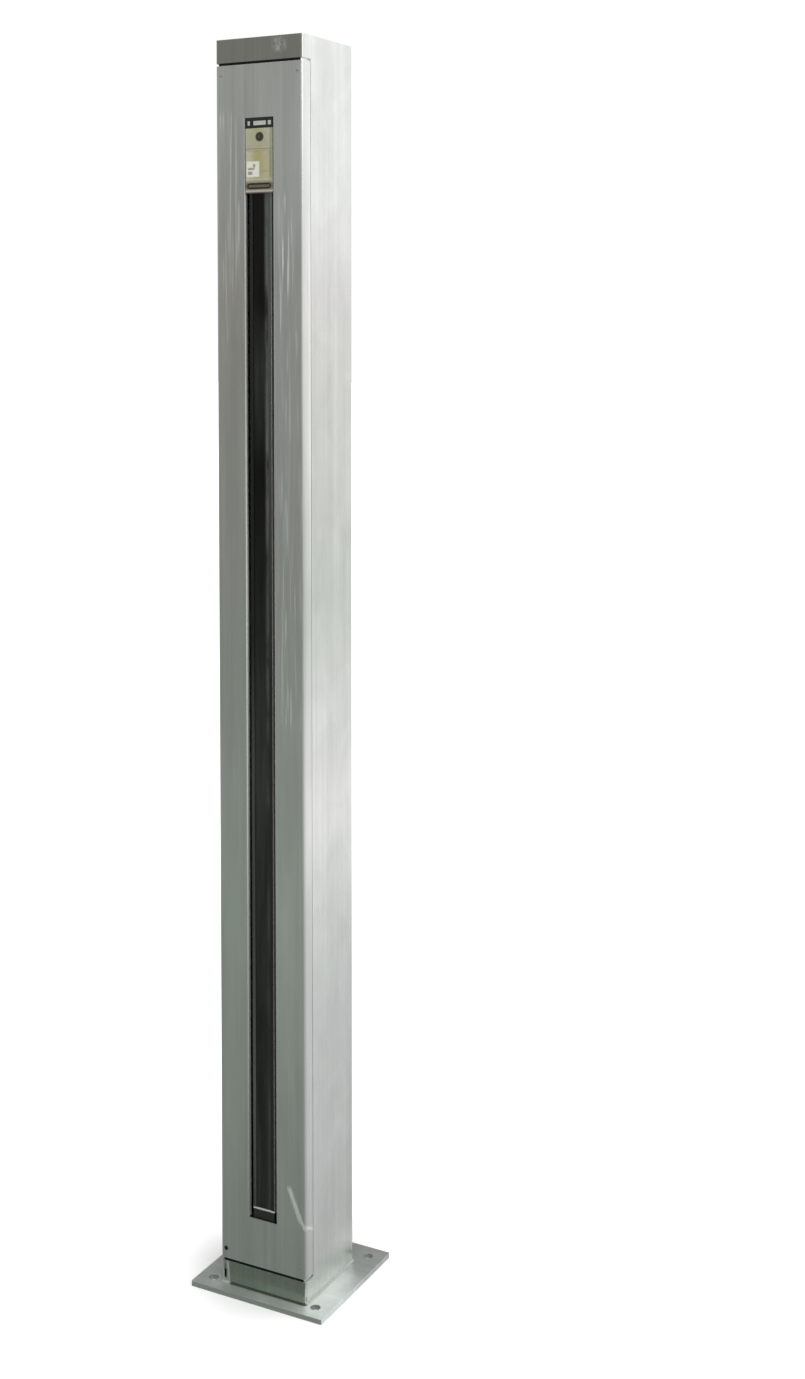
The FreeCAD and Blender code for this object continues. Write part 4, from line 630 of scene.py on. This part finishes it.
def label_film(name):
    """Khaki film, yellower in the middle, with a pale field at its lower left."""
    shader = Shader(name)
    khaki, yellow, left_pale = (0.275, 0.255, 0.16), (0.235, 0.225, 0.10), (0.32, 0.31, 0.22)
    right_olive, foot_pale, field_pale = (0.17, 0.18, 0.12), (0.33, 0.32, 0.25), (0.47, 0.47, 0.41)
    mark_dark, rule_brown = (0.10, 0.10, 0.08), (0.16, 0.14, 0.08)
    middle = shader.band("X", -7 * MM, 5 * MM, 6 * MM)
    left = shader.fall(shader.axis("X"), LABEL_LOW.x, LABEL_LOW.x + 12 * MM)
    right = shader.rise(shader.axis("X"), LABEL_HIGH.x - 4 * MM, LABEL_HIGH.x - 2 * MM)
    foot = shader.fall(shader.axis("Z"), LABEL_LOW.z, LABEL_LOW.z + 6 * MM)
    marks = shader.most(*[shader.patch(LABEL_CORNER, *mark) for mark in LABEL_MARKS])
    rules = shader.most(*[shader.patch(LABEL_CORNER, *rule) for rule in LABEL_RULES])
    colour = shader.mix(middle, khaki, yellow)
    colour = shader.mix(left, colour, left_pale)
    colour = shader.mix(right, colour, right_olive)
    colour = shader.mix(shader.times(foot, 0.6), colour, foot_pale)
    colour = shader.mix(shader.patch(*LABEL_FIELD), colour, field_pale)
    colour = shader.mix(shader.times(marks, 0.75), colour, mark_dark)
    colour = shader.mix(shader.times(rules, 0.4), colour, rule_brown)
    fibre = shader.noise(300.0, 3.0, 0.6)
    return shader.mottled(fibre, colour, (0.95, 1.05), (0.30, 0.42), (0.05, 0.02 * MM))


def adapter_coat(name):
    """Painted joining plate, pinkish, with a shaded foot."""
    shader = Shader(name)
    pink, shaded = (0.29, 0.255, 0.215), (0.07, 0.065, 0.055)
    low_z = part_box("adapter_plate")[0].z
    foot = shader.fall(shader.axis("Z"), low_z + 0.8 * MM, low_z + 1.8 * MM)
    mottle = shader.noise(300.0, 3.0, 0.6)
    colour = shader.mix(foot, pink, shaded)
    return shader.mottled(mottle, colour, (0.9, 1.1), (0.32, 0.42), (0.08, 0.03 * MM), 0.2 * MM)


def badge_light(name):
    """Plain badge plate, darker along its two long edges."""
    shader = Shader(name)
    brown, dark = (0.080, 0.072, 0.050), (0.02, 0.017, 0.01)
    low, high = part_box("badge_panel")
    edge = 0.9 * MM
    near_foot = shader.fall(shader.axis("Z"), low.z, low.z + edge)
    near_top = shader.rise(shader.axis("Z"), high.z - edge, high.z)
    mottle = shader.noise(400.0, 3.0, 0.6)
    colour = shader.mix(shader.most(near_foot, near_top), brown, dark)
    return shader.mottled(mottle, colour, (0.75, 1.25), (0.4, 0.5), (0.08, 0.03 * MM))


def status_plastic(name):
    """Smoked lens, with a painted glint in the middle where its light source sits."""
    shader = Shader(name)
    middle = box_middle("status_lens")
    painted_glint = shader.fall(shader.distance("XZ", (middle.x, middle.z)), 0.6 * MM, 2.0 * MM)
    cloud = shader.noise(500.0, 2.0, 0.5)
    shader.set(
        Base_Color=shader.mix(painted_glint, (0.020, 0.019, 0.009), (0.06, 0.055, 0.03)),
        Roughness=shader.vary(cloud, 0.12, 0.20), IOR=1.49,
    )
    shader.bump(cloud, 0.04, 0.02 * MM)
    return shader.material


MATERIALS = {
    "column_steel": column_steel,
    "cover_steel": cover_steel,
    "plate_steel": plate_steel,
    "bracket_steel": plain_steel((0.60, 0.60, 0.58), 0.35),
    "fastener_steel": plain_steel((0.55, 0.55, 0.54), 0.32, 0.15 * MM),
    "cover_screw_steel": cover_screw_steel,
    "foam_rubber": coated((0.006, 0.006, 0.006), 0.85, specular=0.2),
    "housing_aluminium": housing_aluminium,
    "window_plastic": window_plastic,
    "seal_rubber": coated((0.02, 0.02, 0.02), 0.7),
    "gasket_rubber": coated((0.30, 0.32, 0.30), 0.5),
    "lens_plastic": lens_plastic,
    "board_laminate": coated((0.02, 0.12, 0.05), 0.4, 0.15),
    "diode_plastic": coated((0.05, 0.04, 0.09), 0.2),
    "cap_plastic": coated((0.010, 0.011, 0.009), 0.42, specular=0.35),
    "connector_metal": coated((0.62, 0.60, 0.55), 0.25, 0.04, 1.0),
    "adapter_coat": adapter_coat,
    "head_plastic": head_plastic,
    "label_film": label_film,
    "badge_dark": coated((0.014, 0.012, 0.007), 0.4, 0.12, specular=0.3),
    "badge_light": badge_light,
    "segment_plastic": coated((0.30, 0.32, 0.28), 0.3, 0.12),
    "status_plastic": status_plastic,
    "gland_plastic": coated((0.13, 0.135, 0.14), 0.45),
}


def dress_nodes():
    """Gives each solid the material of its slot, and the weld one of its own."""
    built = {name: build(name) for name, build in MATERIALS.items()}
    for part in frame["record"]["subparts"]:
        mesh = frame["nodes"][part["node"]].data
        mesh.materials.clear()
        mesh.materials.append(built[part["material_slot"]])
    frame["nodes"]["base_weld"].data.materials[0] = weld_steel("weld_steel")


# Stage, light and camera


def floor():
    """Pale floor that fades to white away from the part. Polished metal doesn't mirror it."""
    size = 60.0
    fade_start, fade_end = 0.03, 0.34
    bpy.ops.mesh.primitive_plane_add(size=size, location=(0, 0, 0))
    plane = bpy.context.object
    plane.name = "floor"
    plane.visible_glossy = False
    shader = Shader("floor_paint")
    away = shader.tree.nodes.new("ShaderNodeVectorMath")
    away.operation = "LENGTH"
    shader.tree.links.new(shader.place, away.inputs[0])
    shader.set(
        Base_Color=shader.mix(shader.noise(1.5, 2.0, 0.5), (0.86, 0.86, 0.86), (0.88, 0.88, 0.88)),
        Roughness=0.8, Emission_Color=(1.0, 1.0, 1.0),
        Emission_Strength=shader.rise(away.outputs["Value"], fade_start, fade_end),
    )
    plane.data.materials.append(shader.material)


def area_light(name, place, target, size, power):
    data = bpy.data.lights.new(name, "AREA")
    data.shape = "RECTANGLE"
    data.size, data.size_y = size
    data.energy = power
    light = bpy.data.objects.new(name, data)
    light.location = place
    light.rotation_euler = (Vector(target) - Vector(place)).to_track_quat("-Z", "Y").to_euler()
    bpy.context.scene.collection.objects.link(light)


def world_light():
    """Studio surroundings: dim on the side that the slot faces, bright behind, paler upwards."""
    world = bpy.data.worlds.new("studio")
    bpy.context.scene.world = world
    world.use_nodes = True
    tree = world.node_tree
    tree.nodes.clear()
    place = tree.nodes.new("ShaderNodeTexCoord")
    split = tree.nodes.new("ShaderNodeSeparateXYZ")
    tree.links.new(place.outputs["Generated"], split.inputs[0])

    def ramp(axis, low, high, start=0.0, end=1.0):
        """A strength that follows one coordinate of the direction looked in."""
        node = tree.nodes.new("ShaderNodeMapRange")
        tree.links.new(split.outputs[axis], node.inputs["Value"])
        node.inputs["From Min"].default_value = low
        node.inputs["From Max"].default_value = high
        node.inputs["To Min"].default_value = start
        node.inputs["To Max"].default_value = end
        return node.outputs["Result"]

    def blend(amount, first, second):
        node = tree.nodes.new("ShaderNodeMix")
        for source, index in ((amount, 0), (first, 2), (second, 3)):
            if isinstance(source, float):
                node.inputs[index].default_value = source
            else:
                tree.links.new(source, node.inputs[index])
        return node.outputs[0]

    front = ramp("Z", -0.6, 0.6, 0.27, 0.55)
    back_left = 0.38
    back_right = ramp("Z", -0.6, 0.3, 0.62, 1.15)
    far_right = ramp("Z", -0.6, 0.3, 0.45, 0.95)
    back = blend(ramp("X", -0.1, 0.3), back_left, back_right)
    light = blend(ramp("Y", -0.45, 0.45), front, back)
    light = blend(ramp("X", 0.55, 0.85), light, far_right)
    path = tree.nodes.new("ShaderNodeLightPath")
    white_backdrop = blend(path.outputs["Is Camera Ray"], light, 1.0)
    background = tree.nodes.new("ShaderNodeBackground")
    background.inputs["Color"].default_value = (1.0, 1.0, 1.0, 1.0)
    output = tree.nodes.new("ShaderNodeOutputWorld")
    tree.links.new(white_backdrop, background.inputs["Strength"])
    tree.links.new(background.outputs[0], output.inputs[0])


def camera():
    data = bpy.data.cameras.new("camera")
    data.sensor_width = CAMERA_SENSOR
    data.lens = CAMERA_LENS
    data.shift_y = CAMERA_SHIFT_Y
    data.clip_end = 100.0
    forward = Vector((
        -math.sin(CAMERA_AZIMUTH) * math.cos(CAMERA_PITCH),
        math.cos(CAMERA_AZIMUTH) * math.cos(CAMERA_PITCH),
        -math.sin(CAMERA_PITCH),
    ))
    right = Vector((math.cos(CAMERA_AZIMUTH), math.sin(CAMERA_AZIMUTH), 0))
    up = right.cross(forward)
    turn = Matrix((right, up, -forward)).transposed() @ Matrix.Rotation(CAMERA_ROLL, 3, "Z")
    viewer = bpy.data.objects.new("camera", data)
    foot = Vector((0, (COLUMN_LOW.y + COLUMN_HIGH.y) / 2, COLUMN_LOW.z))
    viewer.matrix_world = Matrix.Translation(foot + CAMERA_FROM_FOOT) @ turn.to_4x4()
    bpy.context.scene.collection.objects.link(viewer)
    bpy.context.scene.camera = viewer


def studio():
    floor()
    world_light()
    area_light("side_softbox", place=(2.2, -1.6, 2.7), target=(0, 0, 0.8), size=(1.6, 1.6), power=24)
    area_light("top_softbox", place=(0.3, -0.2, 3.6), target=(0, 0, 0), size=(3.0, 3.0), power=60)
    view = bpy.context.scene.view_settings
    view.view_transform = "Standard"
    view.look = "None"
    view.exposure = 0.0
    camera()


dress_nodes()
studio()
